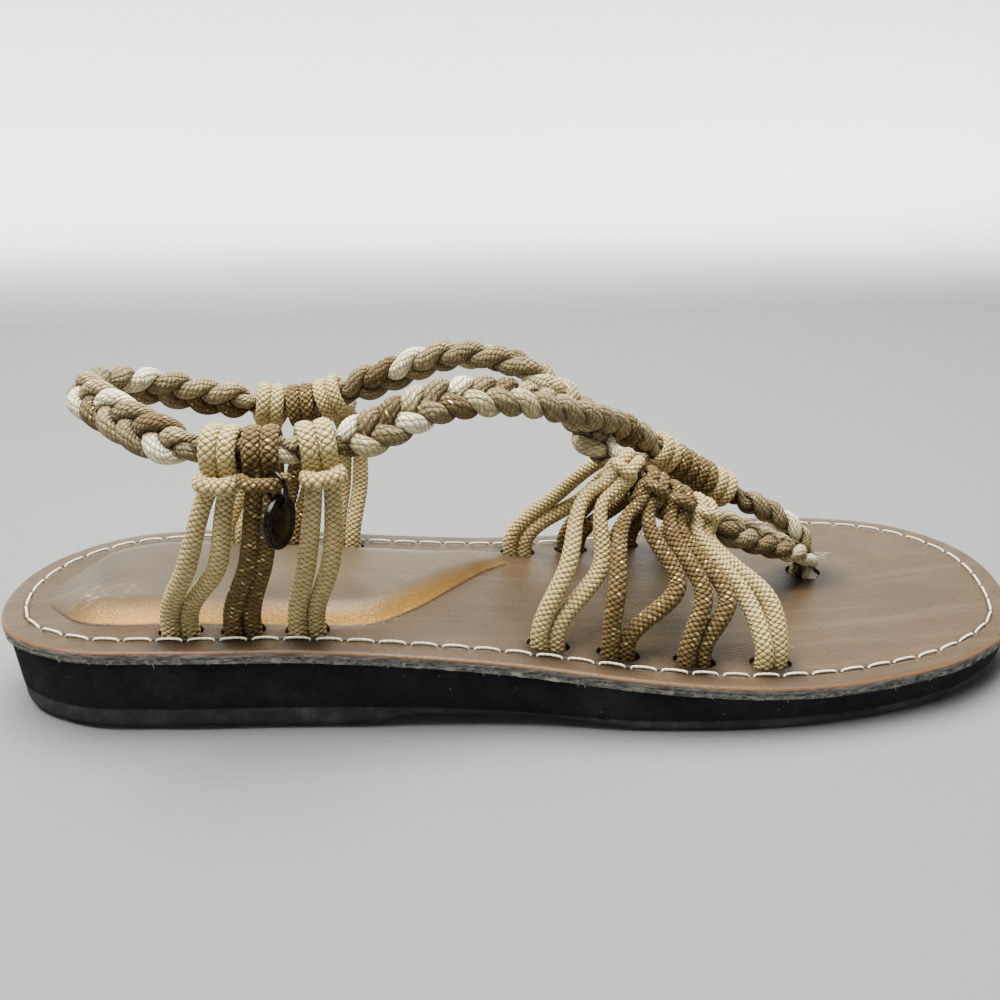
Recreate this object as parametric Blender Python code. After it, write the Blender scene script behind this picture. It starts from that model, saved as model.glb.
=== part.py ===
"""A braided sandal for the right foot.

Sizes are millimetres and become metres when a mesh is made. x runs from the back of the heel to the toe,
y towards the inner side of the foot and z up from the floor. The sole is a stack of layers lofted through
sections, the upper is one plaited strap swept along its route, and cord loops tie the strap to the sole.
"""

import math

import bmesh
import bpy
import numpy as np
from mathutils import Matrix

MM = 0.001
CLEARANCE = 0.3
SLIVER = 0.0008
UP = np.array((0.0, 0.0, 1.0))

# Side view of the sole.
LENGTH = 262.0
BED_TOP_HEEL = 22.0
BED_TOP_FOREFOOT = 12.1
WEDGE_START = 63.0
WEDGE_END = 193.0
TREAD_HEEL = 6.1
TREAD_FOREFOOT = 3.1
TREAD_THIN_START = 84.0
TREAD_THIN_END = 152.0
ARCH_RELIEF = 3.2
ARCH_BACK = (84.0, 97.0)
ARCH_FRONT = (122.0, 152.0)
TOE_SPRING = 2.2
SPRING_START = 190.0
LEATHER = 1.5
BOARD = 1.7

# Plan of the sole: edge of the footbed at each section, and its two ends.
SOLE_SECTIONS = (  # x, outer y, inner y
    (5, -10.5, 26.0),
    (20, -21.8, 39.2),
    (40, -26.3, 41.6),
    (65, -29.6, 37.6),
    (90, -33.2, 33.6),
    (120, -37.6, 33.4),
    (150, -44.2, 38.6),
    (180, -47.8, 45.3),
    (205, -47.0, 48.0),
    (230, -41.4, 43.6),
    (248, -30.6, 34.8),
    (258, -13.0, 22.4),
)
HEEL_BACK = (0.0, 7.2)
TOE_TIP = (LENGTH, 7.4)
SECTION_COUNT = 31
END_TRIM = 0.0008  # share of the length left off each end, where a section would have no width

# How far each layer's edge stands in from the footbed's edge.
FOAM_TOP_INSET = 1.0
FOAM_FOOT_INSET = 1.8
TREAD_INSET = 1.9
TREAD_EDGE = ((5.2, 0.0), (3.1, 0.13), (2.1, 0.36))  # inset, share of the tread's height
LEATHER_ROUND = 0.5
BOARD_INSET = 0.2

# Heel and arch cushion moulded into the footbed: its two edges and its height.
CUSHION = (  # x, outer y, inner y, rise
    (0, 0, 14, 0),
    (11, 0, 14, 0),
    (20, -9.4, 28.0, 2.6),
    (29, -12.7, 32.0, 3.4),
    (40, -14.0, 32.0, 3.6),
    (60, -17.5, 27.0, 3.6),
    (78, -20.5, 24.0, 3.6),
    (89, -19.4, 22.5, 3.6),
    (100, -11.0, 21.5, 3.6),
    (110, 0.0, 21.5, 3.2),
    (119, 9.5, 22.0, 2.2),
    (127, 16.0, 23.0, 0),
    (150, -14, 18, 0),
    (262, -6, 14, 0),
)
CUSHION_SLOPE = 8.5
CUSHION_LOWEST = (0.12, 0.72)  # shares of the width that the row's first and last points keep to
CUSHION_HIGHEST = (0.28, 0.88)

# Slots for the cord loops, and the toe hole.
SLOT_LENGTH = 11.0
SLOT_WIDTH = 5.8
TOE_HOLE = (210.6, 7.6)
TOE_HOLE_RADIUS = 4.8

# Route of the plaited strap from the toe hole over the inner forefoot, round the heel and back.
# The face angle is that of the flat side: 0 faces left of the route, 90 up and 180 right.
STRAP_ROUTE = (  # x, y, z, face angle
    (210.9, 8.8, 15.6, 110),
    (208.0, 9.6, 24.0, 115),
    (201.5, 11.2, 29.0, 118),
    (189.0, 13.0, 35.4, 118),
    (173.0, 11.5, 44.8, 115),
    (156.0, 5.0, 57.2, 108),
    (138.5, -6.0, 66.4, 96),
    (120.7, -11.0, 72.4, 66),
    (105.5, -14.5, 72.8, 48),
    (87.7, -19.5, 67.2, 30),
    (67.5, -22.0, 65.6, 20),
    (50.7, -18.5, 66.6, 26),
    (33.9, -5.0, 71.0, 40),
    (25.6, 9.5, 72.4, 42),
    (33.4, 23.5, 69.6, 38),
    (54.4, 31.0, 63.0, 26),
    (72.8, 32.0, 60.6, 20),
    (94.8, 28.0, 68.4, 40),
    (112.0, 21.8, 75.0, 64),
    (128.1, 16.0, 73.4, 80),
    (141.2, 9.0, 64.2, 98),
    (146.2, -4.4, 55.8, 114),
    (153.4, -9.8, 50.0, 118),
    (170.6, -10.6, 39.4, 122),
    (186.0, -5.6, 31.0, 120),
    (200.5, 1.2, 23.4, 112),
    (207.4, 5.2, 19.6, 106),
    (210.8, 6.9, 15.6, 102),
)
STRAP_HALF_WIDTH = 5.7
STRAP_HALF_THICK = 3.1
STRAND_RADIUS = 2.15
PLAIT_PITCH = 22.0
STATIONS_PER_PITCH = 7
STRAP_SIDES = 10
TOE_SCALE = 0.62
TOE_TAPER = 45.0
CORE_FILL = 0.8
TIE_RADIUS = 2.6
POST_RISE = 1.2

# Cord loops. Each is hitched round the squeezed strap and its two legs share one slot.
CORE_MARGIN = 1.2
CORE_FADE = 5.0
HITCH_GAP = 0.5
HITCH_THICK = 1.8
HITCH_SIDES = 7
CORD_HALF_WIDE = 2.35
CORD_HALF_THICK = 2.05
CORD_SIDES = 5
FOOT_PITCH = 4.2
FOOT_STAGGER = 0.25
FOOT_RISE = 3.0
# A zone is a wrapped stretch of the strap: its middle, the half width of a hitch, the radius that the
# strap is squeezed to, the inset of its slots, where a hitch's bar lies, and the bar's radius.
STRAP_ZONES = {  # middle, half width, core radius, slot inset, bar out and down, bar radius
    "outer_heel": ((67.6, -22.0), 3.8, 3.1, 9.6, (4.3, 7.6), 1.9),
    "inner_heel": ((73.0, 32.0), 3.5, 3.1, 9.6, (4.2, 6.4), 1.7),
    "inner_toe": ((176.0, 12.0), 3.4, 2.6, 10.9, (3.7, 5.2), 1.35),
    "outer_toe": ((160.2, -10.8), 3.1, 2.6, 10.9, (4.7, 3.5), 1.35),
}
BAR_ROOT = (1.8, 5.5)
BAR_BEND = 0.8
LEG_ROOT = 4.95
LEG_BEHIND = (-0.2, 9.6)
LEG_LEAN = 0.17
LEG_STATIONS = 6
CHARM_BAR = (8.2, 7.0)
CHARM_BAR_REACH = 5.6
CHARM_BAR_RADIUS = 1.65
LOOPS = (  # name, cord, zone, place along the strap, slot x, heel-side bow, toe-side bow
    ("heel_loop_outer_front", "cream", "outer_heel", 11.0, 73.3, (0.2, 0.5), (1.5, 1.5)),
    ("heel_loop_outer_middle", "brown", "outer_heel", 0.0, 58.8, (1.0, 0.5), (0.2, 0.5)),
    ("heel_loop_outer_rear", "cream", "outer_heel", -8.3, 44.8, (-0.3, 2.0), (2.2, 2.0)),
    ("heel_loop_inner_front", "cream", "inner_heel", 8.5, 82.0, (1.0, 2.0), (2.0, 2.0)),
    ("heel_loop_inner_middle", "brown", "inner_heel", 0.0, 67.0, (0.0, 2.0), (1.0, 2.0)),
    ("heel_loop_inner_rear", "cream", "inner_heel", -8.3, 52.0, (0.0, 2.0), (2.0, 2.0)),
    ("toe_loop_outer_1", "cream", "outer_toe", -12.2, 128.3, (-1.5, 4.0), (4.3, 0.6)),
    ("toe_loop_outer_2", "brown", "outer_toe", -4.6, 144.2, (-3.0, 6.0), (8.7, 4.0)),
    ("toe_loop_outer_3", "brown", "outer_toe", 2.6, 161.8, (4.8, 4.5), (6.8, 6.0)),
    ("toe_loop_outer_4", "cream", "outer_toe", 10.4, 180.0, (3.7, 1.0), (5.5, 4.0)),
    ("toe_loop_inner_1", "cream", "inner_toe", -12.6, 130.5, (-2.0, 4.0), (1.6, 3.0)),
    ("toe_loop_inner_2", "brown", "inner_toe", -4.9, 147.0, (-2.0, 4.5), (3.0, 4.0)),
    ("toe_loop_inner_3", "brown", "inner_toe", 2.4, 164.0, (1.0, 4.0), (2.6, 5.0)),
    ("toe_loop_inner_4", "cream", "inner_toe", 9.8, 181.0, (1.0, 3.0), (4.0, 4.0)),
)
CHARM_LOOP = "heel_loop_outer_middle"

# Charm: a jump ring round the bar of one loop, and a domed disc with a raised rim.
RING_RADIUS = 3.2
WIRE_RADIUS = 0.5
RING_SHIFT = 3.5
RING_TURN = 50.0
DISC_TURN = 25.0
DISC_RADIUS = 5.8
DISC_HALF_THICK = 0.8
DISC_DOME = 0.9
DISC_MIDDLE = 0.4
DISC_RIM = 1.0
RIM_DEPTH = 0.4
DISC_HOLE_RADIUS = 1.25
DISC_HOLE_PLACE = 4.1
BORE_REACH = 2.0
BORE_STEPS = 10
RING_STEPS = 16
WIRE_SIDES = 5
DISC_STEPS = 18

# Finishes: colour, roughness, metallic.
FINISHES = {
    "tread": ((0.022, 0.022, 0.024), 0.75, 0.0),
    "foam": ((0.012, 0.012, 0.013), 0.85, 0.0),
    "board": ((0.22, 0.21, 0.19), 0.95, 0.0),
    "leather": ((0.16, 0.098, 0.055), 0.45, 0.0),
    "plait": ((0.36, 0.28, 0.17), 0.85, 0.0),
    "cream": ((0.47, 0.38, 0.21), 0.8, 0.0),
    "brown": ((0.17, 0.095, 0.03), 0.7, 0.0),
    "gunmetal": ((0.03, 0.028, 0.027), 0.35, 1.0),
}


def unit(vector):
    return vector / np.linalg.norm(vector)


def smoothstep(x, start, end):
    t = np.clip((x - start) / (end - start), 0, 1)
    return t * t * (3 - 2 * t)


def spline(points, closed=False, measured=3, steps=24):
    """A dense smooth curve through the points. The first columns measure its length."""
    knots = np.array(points, float)
    if closed:
        knots = np.vstack([knots[-2:], knots, knots[:3]])
    chords = np.linalg.norm(np.diff(knots[:, :measured], axis=0), axis=1)
    at = np.concatenate([[0], np.cumsum(chords)])
    slopes = np.gradient(knots, at, axis=0)
    t = np.linspace(0, 1, steps, endpoint=False)[:, None]
    first, last = (2, len(knots) - 3) if closed else (0, len(knots) - 1)
    pieces = []
    for i in range(first, last):
        h = chords[i]
        ends = (1 - t) ** 2 * (1 + 2 * t) * knots[i] + t**2 * (3 - 2 * t) * knots[i + 1]
        pieces.append(ends + h * t * (1 - t) * ((1 - t) * slopes[i] - t * slopes[i + 1]))
    if not closed:
        pieces.append(knots[-1:])
    return np.vstack(pieces)


def along(curve, measured=3):
    """Distance along a curve at each of its points."""
    steps = np.linalg.norm(np.diff(curve[:, :measured], axis=0), axis=1)
    return np.concatenate([[0], np.cumsum(steps)])


def read(curve, distances, places):
    """The curve's columns at the given places along it."""
    return np.stack([np.interp(places, distances, column) for column in curve.T], axis=-1)


def to_part(points):
    """Millimetres from the heel's back to metres about the middle of the sole."""
    return (np.array(points, float) - (LENGTH / 2, 0, 0)) * MM


def loft(rings, closed=False):
    """A closed mesh through rings of equal length, with caps at the ends of an open one."""
    bm = bmesh.new()
    loops = [[bm.verts.new(point) for point in to_part(ring)] for ring in rings]
    pairs = list(zip(loops, loops[1:]))
    if closed:
        pairs.append((loops[-1], loops[0]))
    for a, b in pairs:
        for i, vert in enumerate(a):
            j = (i + 1) % len(a)
            bm.faces.new((vert, a[j], b[j], b[i]))
    if not closed:
        bm.faces.new(loops[0])
        bm.faces.new(loops[-1])
    return finished(bm)


def finished(bm):
    bmesh.ops.recalc_face_normals(bm, faces=bm.faces)
    mesh = bpy.data.meshes.new("mesh")
    bm.to_mesh(mesh)
    bm.free()
    return mesh


def add(name, mesh, finish=None):
    """Links a mesh as a sub-part with its own finish, or as a hidden helper without one."""
    obj = bpy.data.objects.new(name, mesh)
    bpy.context.scene.collection.objects.link(obj)
    if finish is None:
        obj.hide_render = True
        obj.display_type = "WIRE"
        return obj
    colour, roughness, metallic = FINISHES[finish]
    material = bpy.data.materials.new(name)
    material.use_nodes = True
    shader = material.node_tree.nodes["Principled BSDF"]
    shader.inputs["Base Color"].default_value = (*colour, 1)
    shader.inputs["Roughness"].default_value = roughness
    shader.inputs["Metallic"].default_value = metallic
    mesh.materials.clear()
    mesh.materials.append(material)
    mesh.shade_smooth()
    mesh.set_sharp_from_angle(angle=math.radians(40))
    return obj


def combine(meshes, operation, solver="EXACT", crosses_itself=False):
    """The first mesh joined with the others, or cut by them, without the slivers that this leaves."""
    helpers = [add("helper", mesh) for mesh in meshes]
    for helper in helpers[1:]:
        modifier = helpers[0].modifiers.new("combine", "BOOLEAN")
        modifier.operation = operation
        modifier.solver = solver
        modifier.use_self = crosses_itself
        modifier.object = helper
    bpy.context.view_layer.update()
    graph = bpy.context.evaluated_depsgraph_get()
    result = bpy.data.meshes.new_from_object(helpers[0].evaluated_get(graph))
    for helper in helpers:
        bpy.data.objects.remove(helper)
    bm = bmesh.new()
    bm.from_mesh(result)
    bmesh.ops.triangulate(bm, faces=bm.faces)
    bmesh.ops.remove_doubles(bm, verts=bm.verts, dist=SLIVER * MM)
    drop_slivers(bm)
    return finished(bm)


def drop_slivers(bm):
    """Keeps the largest body."""
    waiting = set(bm.verts)
    bodies = []
    while waiting:
        body = set()
        reached = [waiting.pop()]
        while reached:
            vert = reached.pop()
            body.add(vert)
            near = {edge.other_vert(vert) for edge in vert.link_edges} & waiting
            waiting -= near
            reached.extend(near)
        bodies.append(body)
    largest = max(bodies, key=len)
    bmesh.ops.delete(bm, geom=[vert for vert in bm.verts if vert not in largest], context="VERTS")


def toe_spring(x):
    return TOE_SPRING * np.clip((x - SPRING_START) / (LENGTH - SPRING_START), 0, 1) ** 2


def bed_top(x):
    drop = BED_TOP_HEEL - BED_TOP_FOREFOOT
    return BED_TOP_HEEL - drop * smoothstep(x, WEDGE_START, WEDGE_END) + toe_spring(x)


def board_top(x):
    return bed_top(x) - LEATHER


def foam_top(x):
    return board_top(x) - BOARD


def tread_top(x):
    thinned = (TREAD_HEEL - TREAD_FOREFOOT) * smoothstep(x, TREAD_THIN_START, TREAD_THIN_END)
    return TREAD_HEEL - thinned + toe_spring(x)


def tread_bottom(x):
    relief = smoothstep(x, *ARCH_BACK) * (1 - smoothstep(x, *ARCH_FRONT))
    return ARCH_RELIEF * relief + toe_spring(x)


def tread_height(x, share):
    """A level between the tread's bottom and top."""
    return tread_bottom(x) + share * (tread_top(x) - tread_bottom(x))


class SoleEdge:
    """The sole's outline in plan, moved inwards by an inset."""

    def __init__(self, inset):
        outer = [(x, y) for x, y, _ in SOLE_SECTIONS]
        inner = [(x, y) for x, _, y in reversed(SOLE_SECTIONS)]
        curve = spline([HEEL_BACK, *outer, TOE_TIP, *inner], closed=True, measured=2)
        ahead = np.roll(curve, -1, axis=0) - np.roll(curve, 1, axis=0)
        ahead /= np.linalg.norm(ahead, axis=1)[:, None]
        curve = curve + inset * np.stack([-ahead[:, 1], ahead[:, 0]], axis=1)
        curve = np.roll(curve, -np.argmin(curve[:, 0]), axis=0)
        tip = np.argmax(curve[:, 0])
        self.heel = curve[0, 0]
        self.toe = curve[tip, 0]
        self.outer_side = curve[: tip + 1]
        self.inner_side = np.vstack([curve[tip:], curve[:1]])[::-1]

    def x(self, share):
        return self.heel + (self.toe - self.heel) * share

    def outer(self, x):
        return np.interp(x, self.outer_side[:, 0], self.outer_side[:, 1])

    def inner(self, x):
        return np.interp(x, self.inner_side[:, 0], self.inner_side[:, 1])


def section_shares():
    """Places of the sections along the sole, closer together at the round ends."""
    turns = np.linspace(0, math.pi, SECTION_COUNT)
    return END_TRIM + (1 - 2 * END_TRIM) * (1 - np.cos(turns)) / 2


def sole_layer(levels, top_row=None):
    """A layer through sections. Each level is an inset and a height function, from the bottom up."""
    edges = [(SoleEdge(inset), height) for inset, height in levels]
    rings = []
    for share in section_shares():
        outer = []
        inner = []
        for edge, height in edges:
            x = edge.x(share)
            outer.append((x, edge.outer(x), height(x)))
            inner.append((x, edge.inner(x), height(x)))
        across = top_row(outer[-1], inner[-1]) if top_row else []
        rings.append(outer + across + inner[::-1])
    return loft(rings)


def cushion_row(outer_edge, inner_edge):
    """Points across the top of the footbed, over the slopes of the cushion."""
    x, first, z = outer_edge
    last = inner_edge[1]
    table = np.array(CUSHION, float).T
    low, high, rise = [np.interp(x, table[0], column) for column in table[1:]]
    slope = min(CUSHION_SLOPE, (high - low) / 4)
    ys = np.array([low, low + slope, low + (high - low) / 2, high - slope, high])
    rises = np.array([0, rise, rise, rise, 0])
    width = last - first
    lowest = first + width * np.linspace(*CUSHION_LOWEST, len(ys))
    highest = first + width * np.linspace(*CUSHION_HIGHEST, len(ys))
    ys = np.clip(ys, lowest, highest)
    return [(x, y, z + lift) for y, lift in zip(ys, rises)]


def rounded_slot(centre, direction, length, width, low, high, steps=2):
    """An upright rounded slot as a solid."""
    forward = np.array([*direction, 0.0])
    aside = np.cross(UP, forward)
    ring = []
    for end, start in ((1, -90), (-1, 90)):
        for angle in np.radians(np.linspace(start, start + 180, steps + 1)):
            reach = end * (length - width) / 2 + width / 2 * math.cos(angle)
            ring.append(forward * reach + aside * width / 2 * math.sin(angle))
    ring = np.array(ring) + (*centre, 0.0)
    return loft([ring + UP * low, ring + UP * high])


def slot_place(zone, x):
    """Centre of a slot and the direction of the sole's edge beside it."""
    edge = SoleEdge(STRAP_ZONES[zone][3])
    line = edge.outer if zone.startswith("outer") else edge.inner
    step = 2.0
    return np.array([x, line(x)]), unit(np.array([2 * step, line(x + step) - line(x - step)]))


def holes_for_cords():
    low = 0.0
    high = BED_TOP_HEEL + 4 * LEATHER
    cutters = []
    for _, _, zone, _, slot_x, _, _ in LOOPS:
        centre, direction = slot_place(zone, slot_x)
        cutters.append(rounded_slot(centre, direction, SLOT_LENGTH, SLOT_WIDTH, low, high))
    wide = 2 * TOE_HOLE_RADIUS
    cutters.append(rounded_slot(TOE_HOLE, (1, 0), wide + CLEARANCE, wide, low, high, steps=4))
    return cutters


def make_sole():
    tread = [(inset, lambda x, s=share: tread_height(x, s)) for inset, share in TREAD_EDGE]
    add("outsole", sole_layer([*tread, (TREAD_INSET, tread_top)]), "tread")
    foam = [
        (FOAM_FOOT_INSET, lambda x: tread_top(x) + CLEARANCE),
        (FOAM_TOP_INSET, foam_top),
    ]
    add("midsole", sole_layer(foam), "foam")
    board = sole_layer([(BOARD_INSET, lambda x: foam_top(x) + CLEARANCE), (BOARD_INSET, board_top)])
    add("insole_board", combine([board, *holes_for_cords()], "DIFFERENCE"), "board")
    leather = sole_layer(
        [
            (0.0, lambda x: board_top(x) + CLEARANCE),
            (0.0, lambda x: bed_top(x) - LEATHER_ROUND),
            (LEATHER_ROUND, bed_top),
        ],
        cushion_row,
    )
    add("footbed", combine([leather, *holes_for_cords()], "DIFFERENCE"), "leather")


class Strap:
    """The strap's centre line with its frame: along the strap, out of its flat face, and across it."""

    def __init__(self):
        self.curve = spline(STRAP_ROUTE)
        self.distance = along(self.curve)
        self.length = self.distance[-1]
        self.zones = {}
        for zone, (middle, half, core, _, _, _) in STRAP_ZONES.items():
            miss = np.linalg.norm(self.curve[:, :2] - middle, axis=1)
            centre = self.distance[np.argmin(miss)]
            places = [place for _, _, owner, place, _, _, _ in LOOPS if owner == zone]
            self.zones[zone] = (centre, max(np.abs(places)) + half + CORE_MARGIN, core)

    def frame(self, place):
        x, y, z, face = read(self.curve, self.distance, place)
        ahead = read(self.curve, self.distance, place + 0.5) - read(self.curve, self.distance, place - 0.5)
        tangent = unit(ahead[:3])
        left = unit(np.cross(UP, tangent))
        lift = np.cross(tangent, left)
        turn = math.radians(face)
        out = math.cos(turn) * left + math.sin(turn) * lift
        return np.array((x, y, z)), tangent, out, np.cross(out, tangent)

    def squeeze(self, place):
        """How much hitches squeeze the strap, from 0 to 1, and the core that they squeeze it to."""
        amounts = []
        for centre, reach, core in self.zones.values():
            amounts.append((1 - smoothstep(abs(place - centre), reach, reach + CORE_FADE), core))
        return max(amounts)

    def stations(self):
        """Close together where the plait shows, wide apart under the hitches."""
        step = PLAIT_PITCH / STATIONS_PER_PITCH
        places = np.linspace(0, self.length, round(self.length / step) + 1)
        hidden = [i for i, place in enumerate(places) if self.squeeze(place)[0] == 1 and i % 2]
        return np.delete(places, hidden)

    def section(self, place):
        """The outline round three plaited strands, drawn in to a round core under the hitches."""
        point, _, out, across = self.frame(place)
        end = min(place, self.length - place)
        size = TOE_SCALE + (1 - TOE_SCALE) * smoothstep(end, 0, TOE_TAPER)
        half = np.array((STRAP_HALF_WIDTH, STRAP_HALF_THICK)) * size
        radius = STRAND_RADIUS * size
        turns = np.linspace(0, 2 * math.pi, STRAP_SIDES, endpoint=False)
        rays = np.stack([half[0] * np.cos(turns), half[1] * np.sin(turns)], axis=1)
        reach = CORE_FILL * np.linalg.norm(rays, axis=1)
        rays /= np.linalg.norm(rays, axis=1)[:, None]
        for strand in range(3):
            phase = 2 * math.pi * (place / PLAIT_PITCH + strand / 3)
            centre = (half - radius) * (math.sin(phase), -math.sin(2 * phase))
            nearest = rays @ centre
            inside = radius**2 - (centre @ centre - nearest**2)
            reach = np.maximum(reach, np.where(inside > 0, nearest + np.sqrt(np.maximum(inside, 0)), 0))
        amount, core = self.squeeze(place)
        reach = (1 - amount) * reach + amount * core
        return point + np.outer(reach * rays[:, 0], across) + np.outer(reach * rays[:, 1], out)

    def crossing(self):
        """Middle of the place where the strap passes over itself."""
        places = np.arange(0, self.length, 1.0)
        points = read(self.curve, self.distance, places)[:, :3]
        gaps = np.linalg.norm(points[:, None] - points[None], axis=2)
        gaps[np.abs(places[:, None] - places[None]) > 0.8 * self.length] = np.inf
        gaps[np.abs(places[:, None] - places[None]) < 0.3 * self.length] = np.inf
        over, under = np.unravel_index(np.argmin(gaps), gaps.shape)
        return (points[over] + points[under]) / 2


def make_strap(strap):
    plait = loft([strap.section(place) for place in strap.stations()])
    bm = bmesh.new()
    bmesh.ops.create_icosphere(bm, subdivisions=2, radius=TIE_RADIUS * MM)
    bmesh.ops.translate(bm, verts=bm.verts, vec=to_part(strap.crossing()))
    tie = finished(bm)
    post_top = STRAP_ROUTE[0][2] + POST_RISE
    post_low = foam_top(TOE_HOLE[0]) + 2 * CLEARANCE
    wide = 2 * TOE_HOLE_RADIUS - 4 * CLEARANCE
    post = rounded_slot(TOE_HOLE, (1, 0), wide + CLEARANCE, wide, post_low, post_top, steps=4)
    add("braid_strap", combine([plait, tie, post], "UNION", crosses_itself=True), "plait")


def tube(path, half_wide, half_thick, wide_hint, sides=CORD_SIDES):
    """A cord along a path, with its wider way towards the hint."""
    path = np.array(path)
    ahead = np.gradient(path, axis=0)
    turns = np.linspace(0, 2 * math.pi, sides, endpoint=False)
    rings = []
    for point, forward, half_wide in zip(path, ahead, np.broadcast_to(half_wide, len(path))):
        forward = unit(forward)
        wide = unit(wide_hint - forward * (wide_hint @ forward))
        thick = np.cross(forward, wide)
        ring = np.outer(half_wide * np.cos(turns), wide) + np.outer(half_thick * np.sin(turns), thick)
        rings.append(point + ring)
    return loft(rings)


class Hitch:
    """Where a loop grips the strap: its centre, and the ways to the toe, out and down to the sole."""

    def __init__(self, strap, loop):
        self.name, self.cord, zone, place, slot_x, *self.bows = loop
        _, self.half, self.core, _, self.bar_at, self.bar_radius = STRAP_ZONES[zone]
        self.bar_reach = self.half - self.bar_radius
        if self.name == CHARM_LOOP:
            self.bar_at = CHARM_BAR
            self.bar_reach = CHARM_BAR_REACH
            self.bar_radius = CHARM_BAR_RADIUS
        centre = strap.zones[zone][0]
        heading = strap.frame(centre)[1][0]
        self.point, tangent, self.out, self.down = strap.frame(centre + math.copysign(place, place * heading))
        self.fore = math.copysign(1, heading) * tangent
        self.slot, self.edge = slot_place(zone, slot_x)
        self.away = np.array((0.0, -1.0 if zone.startswith("outer") else 1.0, 0.0))
        if self.down[2] > 0:
            self.down = -self.down

    def at(self, fore, out, down):
        return self.point + fore * self.fore + out * self.out + down * self.down

    def grip(self):
        """Two turns of cord side by side, as one band with a groove between them."""
        inner = (self.core + HITCH_GAP) / math.cos(math.pi / HITCH_SIDES)
        crown = inner + HITCH_THICK
        flank = inner + 0.7 * HITCH_THICK
        half = self.half
        profile = ((-half, inner), (half, inner), (half, flank), (half / 2, crown))
        profile += ((0, flank), (-half / 2, crown), (-half, flank))
        rings = []
        for turn in np.linspace(0, 2 * math.pi, HITCH_SIDES, endpoint=False):
            ring = [self.at(fore, r * math.cos(turn), r * math.sin(turn)) for fore, r in profile]
            rings.append(ring)
        return loft(rings, closed=True)

    def bar(self):
        """The bight of the cord, lying across the two legs."""
        out, down = self.bar_at
        root = self.half - self.bar_radius
        sides = []
        for reach in (root, self.bar_reach):
            corner = (reach, out - BAR_BEND, down - BAR_BEND)
            sides.append([(root, *BAR_ROOT), corner, (reach - 2 * BAR_BEND, out, down)])
        points = [self.at(-fore, o, d) for fore, o, d in sides[0]]
        points += [self.at(fore, o, d) for fore, o, d in reversed(sides[1])]
        return tube(points, self.bar_radius, self.bar_radius, self.down)

    def leg(self, side, bow):
        """One leg from behind the bar down into the slot."""
        foot = self.slot + side * FOOT_PITCH / 2 * self.edge - side * FOOT_STAGGER * self.away[:2]
        top = bed_top(foot[0])
        low = foam_top(foot[0]) + 2 * CLEARANCE
        start = self.at(side * self.half / 2, 0.0, LEG_ROOT)
        behind = self.at(side * self.half / 2, *LEG_BEHIND)
        entry = np.array((*foot, top + FOOT_RISE))
        middle = (behind + entry) / 2 + np.array((bow[0], 0, 0)) + bow[1] * self.away
        behind = behind + LEG_LEAN * np.array((middle[0] - behind[0], 0, 0))
        upper = spline([start, behind, middle, entry])
        places = np.linspace(0, 1, LEG_STATIONS) * along(upper)[-1]
        path = read(upper, along(upper), places)
        path = np.vstack([path, (*foot, low)])
        narrow = (self.half - CLEARANCE) / 2
        widths = np.interp(np.arange(len(path)), (0, len(path) / 2), (narrow, CORD_HALF_WIDE))
        return tube(path, widths, CORD_HALF_THICK, np.array((*self.edge, 0)))

    def mesh(self):
        legs = [self.leg(side, bow) for side, bow in zip((-1, 1), self.bows)]
        return combine([self.grip(), self.bar(), *legs], "UNION", solver="MANIFOLD")


def level_way(turn):
    """A level direction, turned from the toe towards the outer side."""
    return np.array((math.cos(math.radians(turn)), -math.sin(math.radians(turn)), 0.0))


def make_charm(hitch):
    """The ring stands on edge round the bar, and the disc hangs on its lowest point."""
    bar = hitch.at(RING_SHIFT, *hitch.bar_at)
    through = level_way(RING_TURN)
    hang = RING_RADIUS - WIRE_RADIUS - hitch.bar_radius - CLEARANCE
    centre = bar - hang * UP
    rings = []
    for angle in np.linspace(0, 2 * math.pi, RING_STEPS, endpoint=False):
        way = math.cos(angle) * through + math.sin(angle) * UP
        aside = np.cross(through, UP)
        ring = []
        for round_wire in np.linspace(0, 2 * math.pi, WIRE_SIDES, endpoint=False):
            offset = math.cos(round_wire) * way + math.sin(round_wire) * aside
            ring.append(centre + RING_RADIUS * way + WIRE_RADIUS * offset)
        rings.append(ring)
    place_on_axis(add("charm_ring", loft(rings, closed=True), "gunmetal"), bar)
    hook = centre - RING_RADIUS * UP
    middle = hook - DISC_HOLE_PLACE * UP
    add_disc(hook, middle, level_way(DISC_TURN))


def add_disc(hook, middle, normal):
    aside = np.cross(UP, normal)
    rim = DISC_RADIUS - DISC_RIM
    profile = (
        (DISC_MIDDLE, -DISC_HALF_THICK),
        (DISC_RADIUS, -DISC_HALF_THICK),
        (DISC_RADIUS, DISC_HALF_THICK),
        (rim, DISC_HALF_THICK),
        (rim, DISC_HALF_THICK - RIM_DEPTH),
        (DISC_MIDDLE, DISC_DOME),
    )
    rings = []
    for reach, height in profile:
        ring = []
        for angle in np.linspace(0, 2 * math.pi, DISC_STEPS, endpoint=False):
            way = math.cos(angle) * aside + math.sin(angle) * UP
            ring.append(middle + reach * way + height * normal)
        rings.append(ring)
    bore = []
    for height in (-BORE_REACH, BORE_REACH):
        ring = []
        for angle in np.linspace(0, 2 * math.pi, BORE_STEPS, endpoint=False):
            way = math.cos(angle) * aside + math.sin(angle) * UP
            ring.append(hook + DISC_HOLE_RADIUS * way + height * normal)
        bore.append(ring)
    disc = combine([loft(rings), loft(bore)], "DIFFERENCE")
    place_on_axis(add("charm_disc", disc, "gunmetal"), hook)


def place_on_axis(obj, pivot):
    """Moves an object's origin to its pivot without moving its shape."""
    pivot = to_part(pivot)
    obj.data.transform(Matrix.Translation(-pivot))
    obj.location = pivot


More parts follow.
